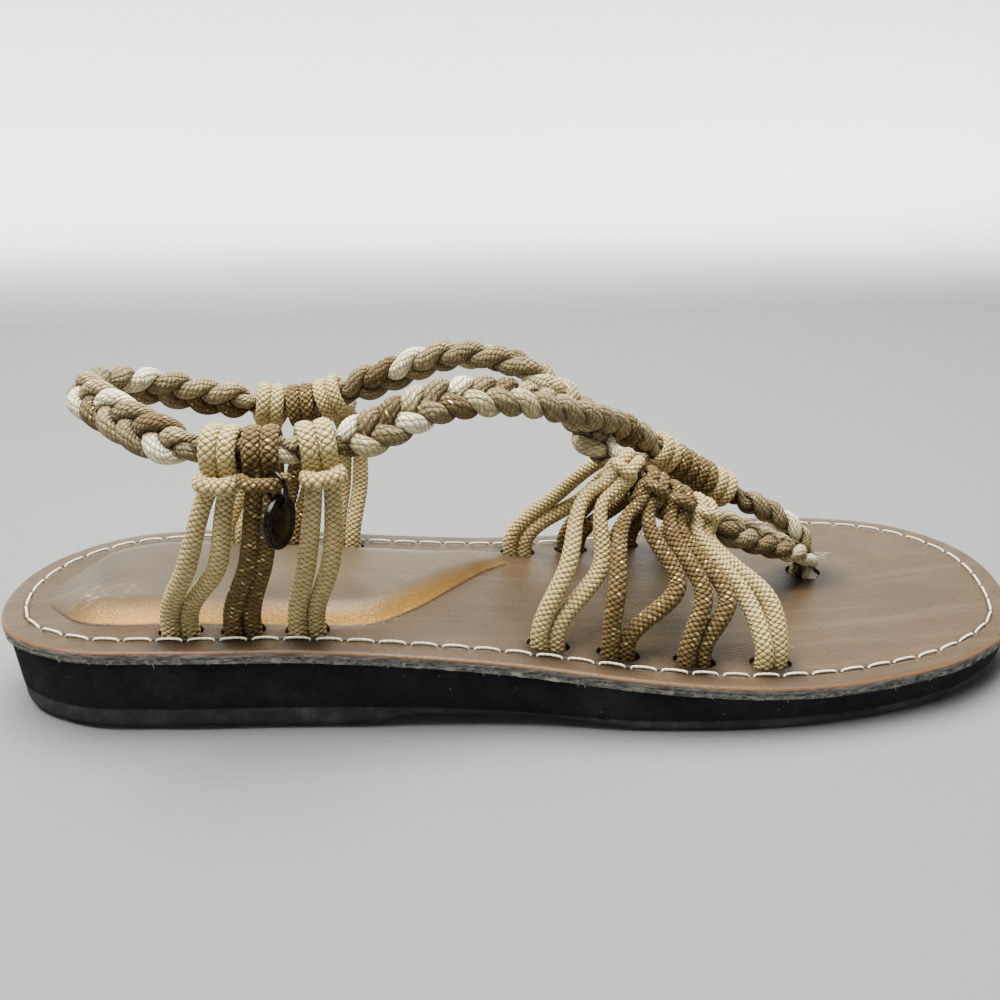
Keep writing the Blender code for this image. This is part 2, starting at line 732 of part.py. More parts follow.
def main():
    for obj in list(bpy.data.objects):
        bpy.data.objects.remove(obj)
    make_sole()
    strap = Strap()
    make_strap(strap)
    for loop in LOOPS:
        hitch = Hitch(strap, loop)
        add(hitch.name, hitch.mesh(), hitch.cord)
        if hitch.name == CHARM_LOOP:
            make_charm(hitch)


main()
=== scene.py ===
# %% [markdown]
# # A braided cord sandal for the right foot
#
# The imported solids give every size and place, and this script dresses them. The sole is rebuilt from the same
# tables as its solids but with many more sections, the strap becomes three plaited strands, and each loop
# becomes one cord that is really wound round the strap. Sizes are millimetres, with x from the back of the
# heel, y towards the inner side of the foot and z up, and they become metres when a mesh is made.

# %% Load the solids as a fixed frame
import math

import bmesh
import bpy
import numpy as np
from mathutils import Matrix, Vector, kdtree


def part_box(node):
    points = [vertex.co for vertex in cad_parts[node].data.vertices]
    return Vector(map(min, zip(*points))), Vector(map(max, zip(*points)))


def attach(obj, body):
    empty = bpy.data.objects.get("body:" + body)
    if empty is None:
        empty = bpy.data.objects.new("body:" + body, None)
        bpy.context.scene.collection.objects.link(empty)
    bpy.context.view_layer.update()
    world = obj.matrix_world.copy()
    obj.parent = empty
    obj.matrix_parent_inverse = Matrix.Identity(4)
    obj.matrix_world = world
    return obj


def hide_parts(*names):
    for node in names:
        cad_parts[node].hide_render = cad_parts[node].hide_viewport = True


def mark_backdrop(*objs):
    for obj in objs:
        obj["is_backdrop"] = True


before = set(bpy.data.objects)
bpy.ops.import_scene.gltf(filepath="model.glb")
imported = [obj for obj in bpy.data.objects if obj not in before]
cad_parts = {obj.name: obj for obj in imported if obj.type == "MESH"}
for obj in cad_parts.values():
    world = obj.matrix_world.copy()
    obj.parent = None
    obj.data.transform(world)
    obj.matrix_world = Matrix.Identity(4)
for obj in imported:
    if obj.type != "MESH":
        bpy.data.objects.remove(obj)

MM = 0.001
UP = np.array((0.0, 0.0, 1.0))
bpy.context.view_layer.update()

# %% [markdown]
# ## Camera and light
#
# The camera stands low at the outer side of the shoe, a little behind its middle. Its place and angles come
# from points of the sole that can be found in the picture. One broad soft light hangs over the shoe, a weaker
# one fills in from the camera's side, and a third brightens the pale wall behind it.

# %% Camera
CAMERA_PLACE = (-43.2, -204.2, 125.3)
CAMERA_YAW = math.radians(-9.35)
CAMERA_PITCH = math.radians(21.75)
CAMERA_ROLL = math.radians(0.19)
FOCAL_PIXELS = 888
PICTURE_PIXELS = 1000
SENSOR_WIDTH = 36


def add_camera():
    right = Vector((math.cos(CAMERA_YAW), math.sin(CAMERA_YAW), 0))
    level = Vector((-math.sin(CAMERA_YAW), math.cos(CAMERA_YAW), 0))
    ahead = math.cos(CAMERA_PITCH) * level - math.sin(CAMERA_PITCH) * Vector((0, 0, 1))
    up = right.cross(ahead)
    rolled_right = math.cos(CAMERA_ROLL) * right + math.sin(CAMERA_ROLL) * up
    rolled_up = math.cos(CAMERA_ROLL) * up - math.sin(CAMERA_ROLL) * right
    data = bpy.data.cameras.new("camera")
    data.sensor_width = SENSOR_WIDTH
    data.lens = SENSOR_WIDTH * FOCAL_PIXELS / PICTURE_PIXELS
    data.clip_start = 0.01
    camera = bpy.data.objects.new("camera", data)
    bpy.context.scene.collection.objects.link(camera)
    matrix = Matrix((rolled_right, rolled_up, -ahead)).transposed().to_4x4()
    matrix.translation = Vector(CAMERA_PLACE) * MM
    camera.matrix_world = matrix
    bpy.context.scene.camera = camera
    return camera


camera = add_camera()
print("camera lens", round(camera.data.lens, 2), "mm")

# %% Lights
WORLD_COLOUR = (0.86, 0.91, 0.95, 1)
WORLD_STRENGTH = 0.05
LIGHTS = (  # name, place and aim in metres, width and depth in metres, watts, colour
    ("overhead", (-0.10, 0.10, 0.80), (0, 0, 0), (0.9, 0.6), 37.0, (1.0, 0.985, 0.95)),
    ("front_fill", (-0.35, -0.95, 0.60), (0, 0, 0), (0.9, 0.6), 0.4, (1.0, 0.97, 0.93)),
    ("backdrop", (0.0, 0.9, 0.75), (0.0, 2.0, 0.15), (2.4, 0.3), 105.0, (0.97, 1.0, 0.98)),
)


def add_light(name, place, aim, size, watts, colour):
    data = bpy.data.lights.new(name, "AREA")
    data.shape = "RECTANGLE"
    data.size, data.size_y = size
    data.energy = watts
    data.color = colour
    light = bpy.data.objects.new(name, data)
    bpy.context.scene.collection.objects.link(light)
    light.location = place
    light.rotation_euler = (Vector(aim) - Vector(place)).to_track_quat("-Z", "Y").to_euler()


for row in LIGHTS:
    add_light(*row)
world = bpy.context.scene.world or bpy.data.worlds.new("studio")
bpy.context.scene.world = world
world.use_nodes = True
background = world.node_tree.nodes["Background"].inputs
background["Color"].default_value = WORLD_COLOUR
background["Strength"].default_value = WORLD_STRENGTH
print("lights", [row[0] for row in LIGHTS])

# %% [markdown]
# ## Curves
#
# The sole's outline, the strap and the cords all follow smooth curves through a few chosen points. One small
# spline helper serves them all, and a second one reads a curve at a given distance along it.

# %% Curve helpers
def unit(vectors):
    return vectors / np.linalg.norm(vectors, axis=-1, keepdims=True)


def smoothstep(x, start, end):
    t = np.clip((x - start) / (end - start), 0, 1)
    return t * t * (3 - 2 * t)


def spline(points, closed=False, measured=3, steps=24):
    """A dense smooth curve through the points. The first columns measure its length."""
    knots = np.array(points, float)
    if closed:
        knots = np.vstack([knots[-2:], knots, knots[:3]])
    chords = np.linalg.norm(np.diff(knots[:, :measured], axis=0), axis=1)
    at = np.concatenate([[0], np.cumsum(chords)])
    slopes = np.gradient(knots, at, axis=0)
    t = np.linspace(0, 1, steps, endpoint=False)[:, None]
    first, last = (2, len(knots) - 3) if closed else (0, len(knots) - 1)
    pieces = []
    for i in range(first, last):
        ends = (1 - t) ** 2 * (1 + 2 * t) * knots[i] + t**2 * (3 - 2 * t) * knots[i + 1]
        pieces.append(ends + chords[i] * t * (1 - t) * ((1 - t) * slopes[i] - t * slopes[i + 1]))
    if not closed:
        pieces.append(knots[-1:])
    return np.vstack(pieces)


def along(curve, measured=3):
    """Distance along a curve at each of its points."""
    return np.concatenate([[0], np.cumsum(np.linalg.norm(np.diff(curve[:, :measured], axis=0), axis=1))])


def read(curve, distances, places):
    """The curve's columns at the given places along it."""
    return np.stack([np.interp(places, distances, column) for column in curve.T], axis=-1)


def search_tree(points):
    """Finds the nearest of many points."""
    tree = kdtree.KDTree(len(points))
    for index, point in enumerate(points):
        tree.insert(point, index)
    tree.balance()
    return tree


def to_scene(points):
    """Millimetres from the heel's back to metres about the middle of the sole."""
    return (np.asarray(points, float) - (LENGTH / 2, 0, 0)) * MM


# %% [markdown]
# ## Making pieces
#
# Most pieces start as a flat grid. Laid in an outline and extruded it is a sole layer, and rolled up along a
# path it is a cord, with a ready UV map whose first axis runs round the cord and whose second runs along it.

# %% Grid and piece helpers
MERGE = 1e-6


def flat_grid(bm, along_count, across_count):
    """A new grid in bm: its points, and each point's shares across and along."""
    bm.loops.layers.uv.verify()
    sizes = {"x_segments": across_count, "y_segments": along_count}
    verts = bmesh.ops.create_grid(bm, **sizes, size=0.5, calc_uvs=True)["verts"]
    shares = np.array([vert.co[:2] for vert in verts])
    return verts, (shares - shares.min(axis=0)) / np.ptp(shares, axis=0)


def set_points(verts, points):
    """Moves vertices to points in millimetres."""
    for vert, point in zip(verts, to_scene(points)):
        vert.co = point


def rounded(turn_part, flatness):
    """A sine or cosine drawn towards a flat-topped section where the cord is pressed flat."""
    return np.sign(turn_part) * np.abs(turn_part) ** np.interp(flatness, (0.5, 0.85), (0.68, 1.0))


def sweep(bm, path, face, half_wide, half_thick, sides, relief=None):
    """A grid rolled into a cord along a path. face points out of the cord's flat side."""
    verts, shares = flat_grid(bm, len(path) - 1, sides)
    station = np.rint(shares[:, 1] * (len(path) - 1)).astype(int)
    turn = 2 * np.pi * shares[:, 0]
    ahead = unit(np.gradient(path, axis=0))
    thick = unit(face - ahead * np.sum(face * ahead, axis=1, keepdims=True))
    wide = np.cross(thick, ahead)
    lift = relief(shares[:, 0], along(path)[station]) if relief else 0.0
    wide_here = np.broadcast_to(half_wide, len(path))[station]
    thick_here = np.broadcast_to(half_thick, len(path))[station]
    flatness = thick_here / wide_here
    reach_wide = (wide_here + lift) * rounded(np.cos(turn), flatness)
    reach_thick = (thick_here + lift) * rounded(np.sin(turn), flatness)
    points = path[station] + reach_wide[:, None] * wide[station] + reach_thick[:, None] * thick[station]
    set_points(verts, points)


def mesh_object(name, bm):
    """A linked object that takes over a mesh in the making."""
    mesh = bpy.data.meshes.new(name)
    bm.to_mesh(mesh)
    bm.free()
    obj = bpy.data.objects.new(name, mesh)
    bpy.context.scene.collection.objects.link(obj)
    return obj


def add_piece(name, bm, material, body="sandal", replaces=(), uv_scale=None):
    """Closes and links a mesh, hangs it on the body that carries it, and hides the solids that it stands for.
    """
    bmesh.ops.remove_doubles(bm, verts=bm.verts, dist=MERGE)
    bmesh.ops.holes_fill(bm, edges=[edge for edge in bm.edges if edge.is_boundary], sides=0)
    bmesh.ops.recalc_face_normals(bm, faces=bm.faces)
    obj = mesh_object(name, bm)
    mesh = obj.data
    mesh.shade_smooth()
    if uv_scale is not None:
        uv = np.empty(2 * len(mesh.loops))
        mesh.uv_layers[0].data.foreach_get("uv", uv)
        mesh.uv_layers[0].data.foreach_set("uv", (uv.reshape(-1, 2) * uv_scale).ravel())
    mesh.materials.append(material)
    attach(obj, body)
    if replaces:
        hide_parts(*replaces)
    return obj


def cut_by(bm, cutter):
    """The first mesh with the second taken out of it."""
    helpers = []
    for part in (bm, cutter):
        bmesh.ops.recalc_face_normals(part, faces=part.faces)
        helpers.append(mesh_object("helper", part))
    cut = helpers[0].modifiers.new("cut", "BOOLEAN")
    cut.operation = "DIFFERENCE"
    cut.object = helpers[1]
    bpy.context.view_layer.update()
    shown = helpers[0].evaluated_get(bpy.context.evaluated_depsgraph_get())
    result = bmesh.new()
    result.from_mesh(shown.to_mesh())
    for helper in helpers:
        bpy.data.objects.remove(helper)
    return result


def points_of(obj):
    """A piece's vertices in millimetres from the heel's back."""
    values = np.empty(3 * len(obj.data.vertices))
    obj.data.vertices.foreach_get("co", values)
    return values.reshape(-1, 3) / MM + (LENGTH / 2, 0, 0)


def paint(obj, name, values):
    """Stores one number on each vertex, for a material to read."""
    attribute = obj.data.attributes.new(name, "FLOAT", "POINT")
    attribute.data.foreach_set("value", np.asarray(values, np.float32))


# %% [markdown]
# ## Node helpers
#
# Materials here are graphs of a few kinds of node. A small class gives each kind a short word, so that a
# material reads as its recipe: what is measured, what it is mixed with, and where it goes.

# %% Node helpers
class Graph:
    """Short words for the nodes of one material or group."""

    def __init__(self, tree):
        self.tree = tree

    def put(self, kind, inputs, **settings):
        node = self.tree.nodes.new(kind)
        for name, value in settings.items():
            setattr(node, name, value)
        for key, value in inputs.items():
            if isinstance(value, bpy.types.NodeSocket):
                self.tree.links.new(value, node.inputs[key])
            else:
                node.inputs[key].default_value = value
        return node

    def math(self, operation, a, b=0.0):
        return self.put("ShaderNodeMath", {0: a, 1: b}, operation=operation).outputs[0]

    def plus(self, a, b):
        return self.math("ADD", a, b)

    def minus(self, a, b):
        return self.math("SUBTRACT", a, b)

    def size(self, value):
        return self.math("ABSOLUTE", value)

    def sway(self, value, amount):
        """A value between 0 and 1 made to swing about 0."""
        return self.product(self.minus(value, 0.5), amount)

    def product(self, *values):
        result = values[0]
        for value in values[1:]:
            result = self.math("MULTIPLY", result, value)
        return result

    def step(self, value, low, high, to_low=0.0, to_high=1.0):
        inputs = {0: value, 1: low, 2: high, 3: to_low, 4: to_high}
        return self.put("ShaderNodeMapRange", inputs, interpolation_type="SMOOTHSTEP").outputs[0]

    def mix(self, share, first, second, blend="MIX"):
        first, second = [(*side, 1) if isinstance(side, tuple) else side for side in (first, second)]
        inputs = {0: share, 6: first, 7: second}
        return self.put("ShaderNodeMix", inputs, data_type="RGBA", blend_type=blend).outputs[2]

    def noise(self, vector, scale, detail=2.0, roughness=0.5):
        inputs = {"Vector": vector, "Scale": scale, "Detail": detail, "Roughness": roughness}
        return self.put("ShaderNodeTexNoise", inputs).outputs[0]

    def cells(self, vector, scale, output="Distance", feature="F1"):
        inputs = {"Vector": vector, "Scale": scale}
        return self.put("ShaderNodeTexVoronoi", inputs, feature=feature).outputs[output]

    def stretched(self, vector, scale):
        return self.put("ShaderNodeMapping", {"Vector": vector, "Scale": scale}).outputs[0]

    def place(self):
        return self.put("ShaderNodeTexCoord", {}).outputs["Object"]

    def uv(self):
        return self.put("ShaderNodeUVMap", {}).outputs[0]

    def read(self, name):
        return self.put("ShaderNodeAttribute", {}, attribute_name=name).outputs["Fac"]

    def group(self, tree, **inputs):
        inputs = {name.capitalize(): value for name, value in inputs.items()}
        return self.put("ShaderNodeGroup", inputs, node_tree=tree).outputs

    def bump(self, height, depth, strength=1.0):
        inputs = {"Height": height, "Distance": depth, "Strength": strength}
        return self.put("ShaderNodeBump", inputs).outputs[0]


def new_material(name, **values):
    """A material with its shader's plain values set, its graph, and the shader's sockets."""
    material = bpy.data.materials.new(name)
    material.use_nodes = True
    shader = material.node_tree.nodes["Principled BSDF"].inputs
    for socket, value in values.items():
        shader[socket.replace("_", " ").title().replace("Ior", "IOR")].default_value = value
    return material, Graph(material.node_tree), shader


def connect(graph, target, **sockets):
    """Links values to the sockets of a shader or of a group's output."""
    for name, socket in sockets.items():
        graph.tree.links.new(socket, target[name.replace("_", " ").title()])


FLOAT = "NodeSocketFloat"
VECTOR = "NodeSocketVector"


def new_group(name, inputs, outputs):
    """An empty shader node group that gives out plain values, and its sockets."""
    tree = bpy.data.node_groups.new(name, "ShaderNodeTree")
    for socket, kind in inputs.items():
        tree.interface.new_socket(socket, in_out="INPUT", socket_type=kind)
    for socket in outputs:
        tree.interface.new_socket(socket, in_out="OUTPUT", socket_type=FLOAT)
    given = tree.nodes.new("NodeGroupInput").outputs
    return tree, Graph(tree), given, tree.nodes.new("NodeGroupOutput").inputs


# %% [markdown]
# ## Shared surface effects
#
# Three effects come back in several finishes. The braid pattern lays two families of yarns on a cord's UV
# map, one leaning right and one left, and lets them pass over each other in turn, as in a tubular braid.
# Noise makes the yarns wander, as they do in soft cord. The grain is that of finished leather, and the dust
# is the pale bloom that lies on rubber and in corners.

# %% Braid pattern group
GRAIN_PLUMPNESS = 0.8
GRAIN_ENDS = 3.0
WANDER_SCALES = (420.0, 530.0)  # round the cord and along it


def braid_group():
    tree, g, given, out = new_group(
        "braid pattern",
        {"Uv": VECTOR, "Columns": FLOAT, "Wander": FLOAT},
        ("Height", "Random", "Dash"),
    )
    uv = g.put("ShaderNodeSeparateXYZ", {0: given["Uv"]}).outputs
    place = g.place()
    sideways, lengthwise = [g.sway(g.noise(place, scale), given["Wander"]) for scale in WANDER_SCALES]
    half = g.plus(g.product(uv["X"], 0.5), sideways)
    climb = g.plus(uv["Y"], lengthwise)
    right, left = g.plus(half, climb), g.minus(half, climb)
    right_yarn, left_yarn = g.math("FLOOR", right), g.math("FLOOR", left)
    right_off = g.minus(g.minus(right, right_yarn), 0.5)
    left_off = g.minus(g.minus(left, left_yarn), 0.5)
    column = g.plus(right_yarn, left_yarn)
    left_on_top = g.math("FLOORED_MODULO", column, 2.0)
    right_on_top = g.minus(1.0, left_on_top)
    across = g.plus(g.product(right_off, right_on_top), g.product(left_off, left_on_top))
    along_yarn = g.plus(g.product(left_off, right_on_top), g.product(right_off, left_on_top))
    crown = g.minus(1.0, g.product(across, across, 4.0))
    ends = g.minus(1.0, g.product(along_yarn, along_yarn, GRAIN_ENDS))
    height = g.math("POWER", g.math("MAXIMUM", g.product(crown, ends), 0.0), GRAIN_PLUMPNESS)
    wrapped = g.math("FLOORED_MODULO", column, given["Columns"])
    row = g.minus(right_yarn, left_yarn)
    cell = g.put("ShaderNodeCombineXYZ", {0: wrapped, 1: row, 2: 0.37}).outputs[0]
    random = g.put("ShaderNodeTexWhiteNoise", {"Vector": cell}).outputs["Value"]
    thin = g.step(g.size(across), 0.15, 0.05)
    short = g.step(g.size(along_yarn), 0.42, 0.26)
    connect(g, out, height=height, random=random, dash=g.product(thin, short))
    return tree


BRAID = braid_group()
print("group", BRAID.name)

# %% Leather grain and dust groups
def grain_group():
    tree, g, given, out = new_group("leather grain", {"Vector": VECTOR}, ("Height", "Mottle", "Streak"))
    place = given["Vector"]
    pebbles = g.cells(place, 1500.0, feature="SMOOTH_F1")
    height = g.plus(pebbles, g.product(g.noise(place, 3400.0, 3.0), 0.6))
    streak = g.noise(g.stretched(place, (18.0, 260.0, 60.0)), 1.0, 4.0, 0.6)
    connect(g, out, height=height, mottle=g.noise(place, 55.0, 5.0, 0.6), streak=streak)
    return tree


def dust_group():
    tree, g, given, out = new_group("dust", {"Vector": VECTOR, "Amount": FLOAT}, ("Mask", "Specks"))
    place = given["Vector"]
    clouds = g.step(g.noise(place, 70.0, 6.0, 0.65), 0.42, 0.75)
    mask = g.product(clouds, g.noise(place, 2200.0), given["Amount"])
    picked = g.step(g.cells(place, 800.0, "Color"), 0.74, 0.90)
    dots = g.step(g.cells(place, 800.0), 0.17, 0.07)
    connect(g, out, mask=mask, specks=g.product(picked, dots))
    return tree


GRAIN = grain_group()
DUST = dust_group()
print("groups", GRAIN.name, DUST.name)

# %% [markdown]
# ## Sole
#
# The sole is a stack: a thin rubber tread, a black foam wedge, a grey fibre board and the leather footbed.
# All four are one kind of shape, a grid laid in the sole's outline and extruded, with walls that follow their
# own insets and heights. The tables are those of the solids, with slightly smaller slots.

# %% Sole tables
LENGTH = 262.0
BED_TOP_HEEL, BED_TOP_FOREFOOT = 22.0, 12.1
WEDGE = (63.0, 193.0)
TREAD_HEEL, TREAD_FOREFOOT = 6.1, 3.1
TREAD_THINS = (84.0, 152.0)
ARCH_RELIEF = 3.2
ARCH_BACK, ARCH_FRONT = (84.0, 97.0), (122.0, 152.0)
TOE_SPRING, SPRING_START = 2.2, 190.0
LEATHER, BOARD, CLEARANCE = 1.5, 1.7, 0.3
SOLE_SECTIONS = (  # x, outer y, inner y
    (5, -10.5, 26.0),
    (20, -21.8, 39.2),
    (40, -26.3, 41.6),
    (65, -29.6, 37.6),
    (90, -33.2, 33.6),
    (120, -37.6, 33.4),
    (150, -44.2, 38.6),
    (180, -47.8, 45.3),
    (205, -47.0, 48.0),
    (230, -41.4, 43.6),
    (248, -30.6, 34.8),
    (258, -13.0, 22.4),
)
HEEL_BACK, TOE_TIP = (0.0, 7.2), (LENGTH, 7.4)
CUSHION = (  # x, outer y, inner y, rise
    (0, 0, 14, 0),
    (11, 0, 14, 0),
    (20, -9.4, 28.0, 2.6),
    (29, -12.7, 32.0, 3.4),
    (40, -14.0, 32.0, 3.6),
    (60, -17.5, 27.0, 3.6),
    (78, -20.5, 24.0, 3.6),
    (89, -19.4, 22.5, 3.6),
    (100, -11.0, 21.5, 3.6),
    (110, 0.0, 21.5, 3.2),
    (119, 9.5, 22.0, 2.2),
    (127, 16.0, 23.0, 0),
)
CUSHION_SLOPE = 8.5
SLOT_LENGTH, SLOT_WIDTH = 10.2, 5.5
TOE_HOLE, TOE_HOLE_RADIUS = (210.6, 7.6), 4.8


def toe_spring(x):
    return TOE_SPRING * np.clip((x - SPRING_START) / (LENGTH - SPRING_START), 0, 1) ** 2


def bed_top(x):
    drop = (BED_TOP_HEEL - BED_TOP_FOREFOOT) * smoothstep(x, *WEDGE)
    return BED_TOP_HEEL - drop + toe_spring(x)


def foam_top(x):
    return bed_top(x) - LEATHER - BOARD


def tread_top(x):
    return TREAD_HEEL - (TREAD_HEEL - TREAD_FOREFOOT) * smoothstep(x, *TREAD_THINS) + toe_spring(x)


def tread_bottom(x):
    return ARCH_RELIEF * smoothstep(x, *ARCH_BACK) * (1 - smoothstep(x, *ARCH_FRONT)) + toe_spring(x)


class SoleEdge:
    """The sole's outline in plan, moved inwards by an inset."""

    def __init__(self, inset):
        outer = [(x, y) for x, y, _ in SOLE_SECTIONS]
        inner = [(x, y) for x, _, y in reversed(SOLE_SECTIONS)]
        curve = spline([HEEL_BACK, *outer, TOE_TIP, *inner], closed=True, measured=2)
        ahead = unit(np.roll(curve, -1, axis=0) - np.roll(curve, 1, axis=0))
        curve = curve + inset * np.stack([-ahead[:, 1], ahead[:, 0]], axis=1)
        self.loop = np.roll(curve, -np.argmin(curve[:, 0]), axis=0)
        tip = np.argmax(self.loop[:, 0])
        self.heel, self.toe = self.loop[0, 0], self.loop[tip, 0]
        self.outer_side = self.loop[: tip + 1]
        self.inner_side = np.vstack([self.loop[tip:], self.loop[:1]])[::-1]

    def outer(self, x):
        return np.interp(x, self.outer_side[:, 0], self.outer_side[:, 1])

    def inner(self, x):
        return np.interp(x, self.inner_side[:, 0], self.inner_side[:, 1])

    def even(self, step):
        """Points about a step apart all the way round, and the distance to each."""
        loop = np.vstack([self.loop, self.loop[:1]])
        run = along(loop, measured=2)
        places = np.linspace(0, run[-1], round(run[-1] / step), endpoint=False)
        return read(loop, run, places), places, run[-1]


print("outline", round(SoleEdge(0).even(1.0)[2]), "mm round")

# %% Sole layer helper
END_TRIM = 0.0004
EVEN_SHARE, EASED_SHARE = 0.45, 0.55  # how the columns crowd towards heel and toe


def sole_layer(columns, rows, wall_cuts, inset, height, rise=None):
    """A grid in the outline, extruded to a slab. inset(level) and height(x, level) shape its wall."""
    bm = bmesh.new()
    share = bm.verts.layers.float.new("share")
    side = bm.verts.layers.float.new("side")
    level = bm.verts.layers.float.new("level")
    verts, shares = flat_grid(bm, rows, columns)
    for vert, (forward, sideways) in zip(verts, shares):
        vert[share], vert[side] = forward, sideways
    made = bmesh.ops.extrude_face_region(bm, geom=bm.faces[:])
    for vert in made["geom"]:
        if isinstance(vert, bmesh.types.BMVert):
            vert[level] = 1
    walls = [edge for edge in bm.edges if edge.verts[0][level] != edge.verts[1][level]]
    bmesh.ops.subdivide_edges(bm, edges=walls, cuts=wall_cuts)
    table = np.array([(vert[share], vert[side], vert[level]) for vert in bm.verts])
    points = np.empty((len(table), 3))
    forward, levels = table[:, 0], np.round(table[:, 2], 4)
    eased = (1 - np.cos(np.pi * forward)) / 2
    spread = END_TRIM + (1 - 2 * END_TRIM) * (EVEN_SHARE * forward + EASED_SHARE * eased)
    for step in np.unique(levels):
        here = levels == step
        edge = SoleEdge(inset(step))
        x = edge.heel + (edge.toe - edge.heel) * spread[here]
        y = edge.outer(x) + (edge.inner(x) - edge.outer(x)) * table[here, 1]
        z = height(x, step)
        if rise is not None and step == 1:
            z = z + rise(x, y)
        points[here] = np.stack([x, y, z], axis=1)
    set_points(bm.verts, points)
    return bm


# %% [markdown]
# ### Rubber tread and foam wedge
#
# The tread is thick under the heel and thin under the forefoot, with a rounded lower edge and an arch that
# clears the floor. The foam wedge above it is sawn flat at its side, so its wall is straight and shows open
# cells and a few bright grains.

# %% Tread and foam finishes
def tread_material():
    material, g, shader = new_material("dusty rubber tread", roughness=0.8, specular_ior_level=0.15)
    place = g.place()
    dust = g.group(DUST, vector=place, amount=1.6)
    cloud = g.noise(place, 24.0, 3.0)
    base = g.mix(cloud, (0.014, 0.015, 0.017), (0.034, 0.036, 0.040))
    base = g.mix(dust["Mask"], base, (0.10, 0.10, 0.098))
    base = g.mix(g.product(dust["Specks"], 0.4), base, (0.22, 0.22, 0.21))
    scuff = g.noise(g.stretched(place, (60.0, 60.0, 900.0)), 1.0, 4.0)
    connect(g, shader, base_color=base, roughness=g.step(cloud, 0.3, 0.7, 0.62, 0.85))
    connect(g, shader, normal=g.bump(g.plus(g.noise(place, 1700.0), g.product(scuff, 0.6)), 0.00012))
    return material


def foam_material():
    material, g, shader = new_material("black foam", roughness=0.9, specular_ior_level=0.08)
    place = g.place()
    dust = g.group(DUST, vector=place, amount=0.45)
    pores = g.cells(place, 1500.0)
    saw = g.noise(g.stretched(place, (26.0, 26.0, 700.0)), 1.0, 3.0)
    base = g.mix(g.noise(place, 40.0, 3.0), (0.006, 0.0065, 0.008), (0.014, 0.015, 0.018))
    base = g.mix(dust["Mask"], base, (0.07, 0.072, 0.075))
    base = g.mix(g.product(dust["Specks"], 0.5), base, (0.30, 0.31, 0.32))
    height = g.plus(pores, g.product(saw, 0.5))
    connect(g, shader, base_color=base, normal=g.bump(height, 0.0002, 0.8))
    return material


# %% Tread and foam
TREAD_EDGE = ((0.0, 5.2), (0.06, 3.9), (0.13, 3.1), (0.22, 2.5), (0.36, 2.1), (1.0, 1.9))  # share up, inset
FOAM_INSETS = (1.8, 1.0)
TREAD_GRID, FOAM_GRID = (150, 10, 12), (150, 8, 6)  # columns along, rows across, cuts up the wall


def tread_inset(level):
    return np.interp(level, *zip(*TREAD_EDGE))


def foam_inset(level):
    return np.interp(level, (0, 1), FOAM_INSETS)


def tread_height(x, level):
    return tread_bottom(x) + level * (tread_top(x) - tread_bottom(x))


def foam_height(x, level):
    low = tread_top(x) + CLEARANCE
    return low + level * (foam_top(x) - low)


bm = sole_layer(*TREAD_GRID, tread_inset, tread_height)
tread = add_piece("rubber_tread", bm, tread_material(), replaces=["outsole"])
bm = sole_layer(*FOAM_GRID, foam_inset, foam_height)
foam = add_piece("foam_wedge", bm, foam_material(), replaces=["midsole"])
print("tread", len(tread.data.polygons), "and foam", len(foam.data.polygons), "faces")

# %% [markdown]
# ### Slots
#
# Each loop's two legs go down through one slot in the leather and the board, and both ends of the strap go
# through a round hole at the toe. A slot is a round disc whose two halves are pulled apart and extruded.

# %% Slots
STRAP_ZONES = {  # middle, half width of a hitch, core radius, slot inset, bar out and down, bar radius
    "outer_heel": ((67.6, -22.0), 3.8, 3.1, 9.6, (4.3, 7.6), 1.9),
    "inner_heel": ((73.0, 32.0), 3.5, 3.1, 9.6, (4.2, 6.4), 1.7),
    "inner_toe": ((176.0, 12.0), 3.4, 2.6, 10.9, (3.7, 5.2), 1.35),
    "outer_toe": ((160.2, -10.8), 3.1, 2.6, 10.9, (4.7, 3.5), 1.35),
}
LOOPS = (  # name, cord, zone, place along the strap, slot x, heel-side bow, toe-side bow
    ("heel_loop_outer_front", "cream", "outer_heel", 11.0, 73.3, (0.2, 0.5), (1.5, 1.5)),
    ("heel_loop_outer_middle", "brown", "outer_heel", 0.0, 58.8, (1.0, 0.5), (0.2, 0.5)),
    ("heel_loop_outer_rear", "cream", "outer_heel", -8.3, 44.8, (-0.3, 2.0), (2.2, 2.0)),
    ("heel_loop_inner_front", "cream", "inner_heel", 8.5, 82.0, (1.0, 2.0), (2.0, 2.0)),
    ("heel_loop_inner_middle", "brown", "inner_heel", 0.0, 67.0, (0.0, 2.0), (1.0, 2.0)),
    ("heel_loop_inner_rear", "cream", "inner_heel", -8.3, 52.0, (0.0, 2.0), (2.0, 2.0)),
    ("toe_loop_outer_1", "cream", "outer_toe", -12.2, 128.3, (-1.5, 4.0), (4.3, 0.6)),
    ("toe_loop_outer_2", "brown", "outer_toe", -4.6, 144.2, (-3.0, 6.0), (8.7, 4.0)),
    ("toe_loop_outer_3", "brown", "outer_toe", 2.6, 161.8, (4.8, 4.5), (6.8, 6.0)),
    ("toe_loop_outer_4", "cream", "outer_toe", 10.4, 180.0, (3.7, 1.0), (5.5, 4.0)),
    ("toe_loop_inner_1", "cream", "inner_toe", -12.6, 130.5, (-2.0, 4.0), (1.6, 3.0)),
    ("toe_loop_inner_2", "brown", "inner_toe", -4.9, 147.0, (-2.0, 4.5), (3.0, 4.0)),
    ("toe_loop_inner_3", "brown", "inner_toe", 2.4, 164.0, (1.0, 4.0), (2.6, 5.0)),
    ("toe_loop_inner_4", "cream", "inner_toe", 9.8, 181.0, (1.0, 3.0), (4.0, 4.0)),
)
EDGE_STEP = 2.0
SLOT_SIDES, SLOT_CUT_HEIGHT = 26, 40


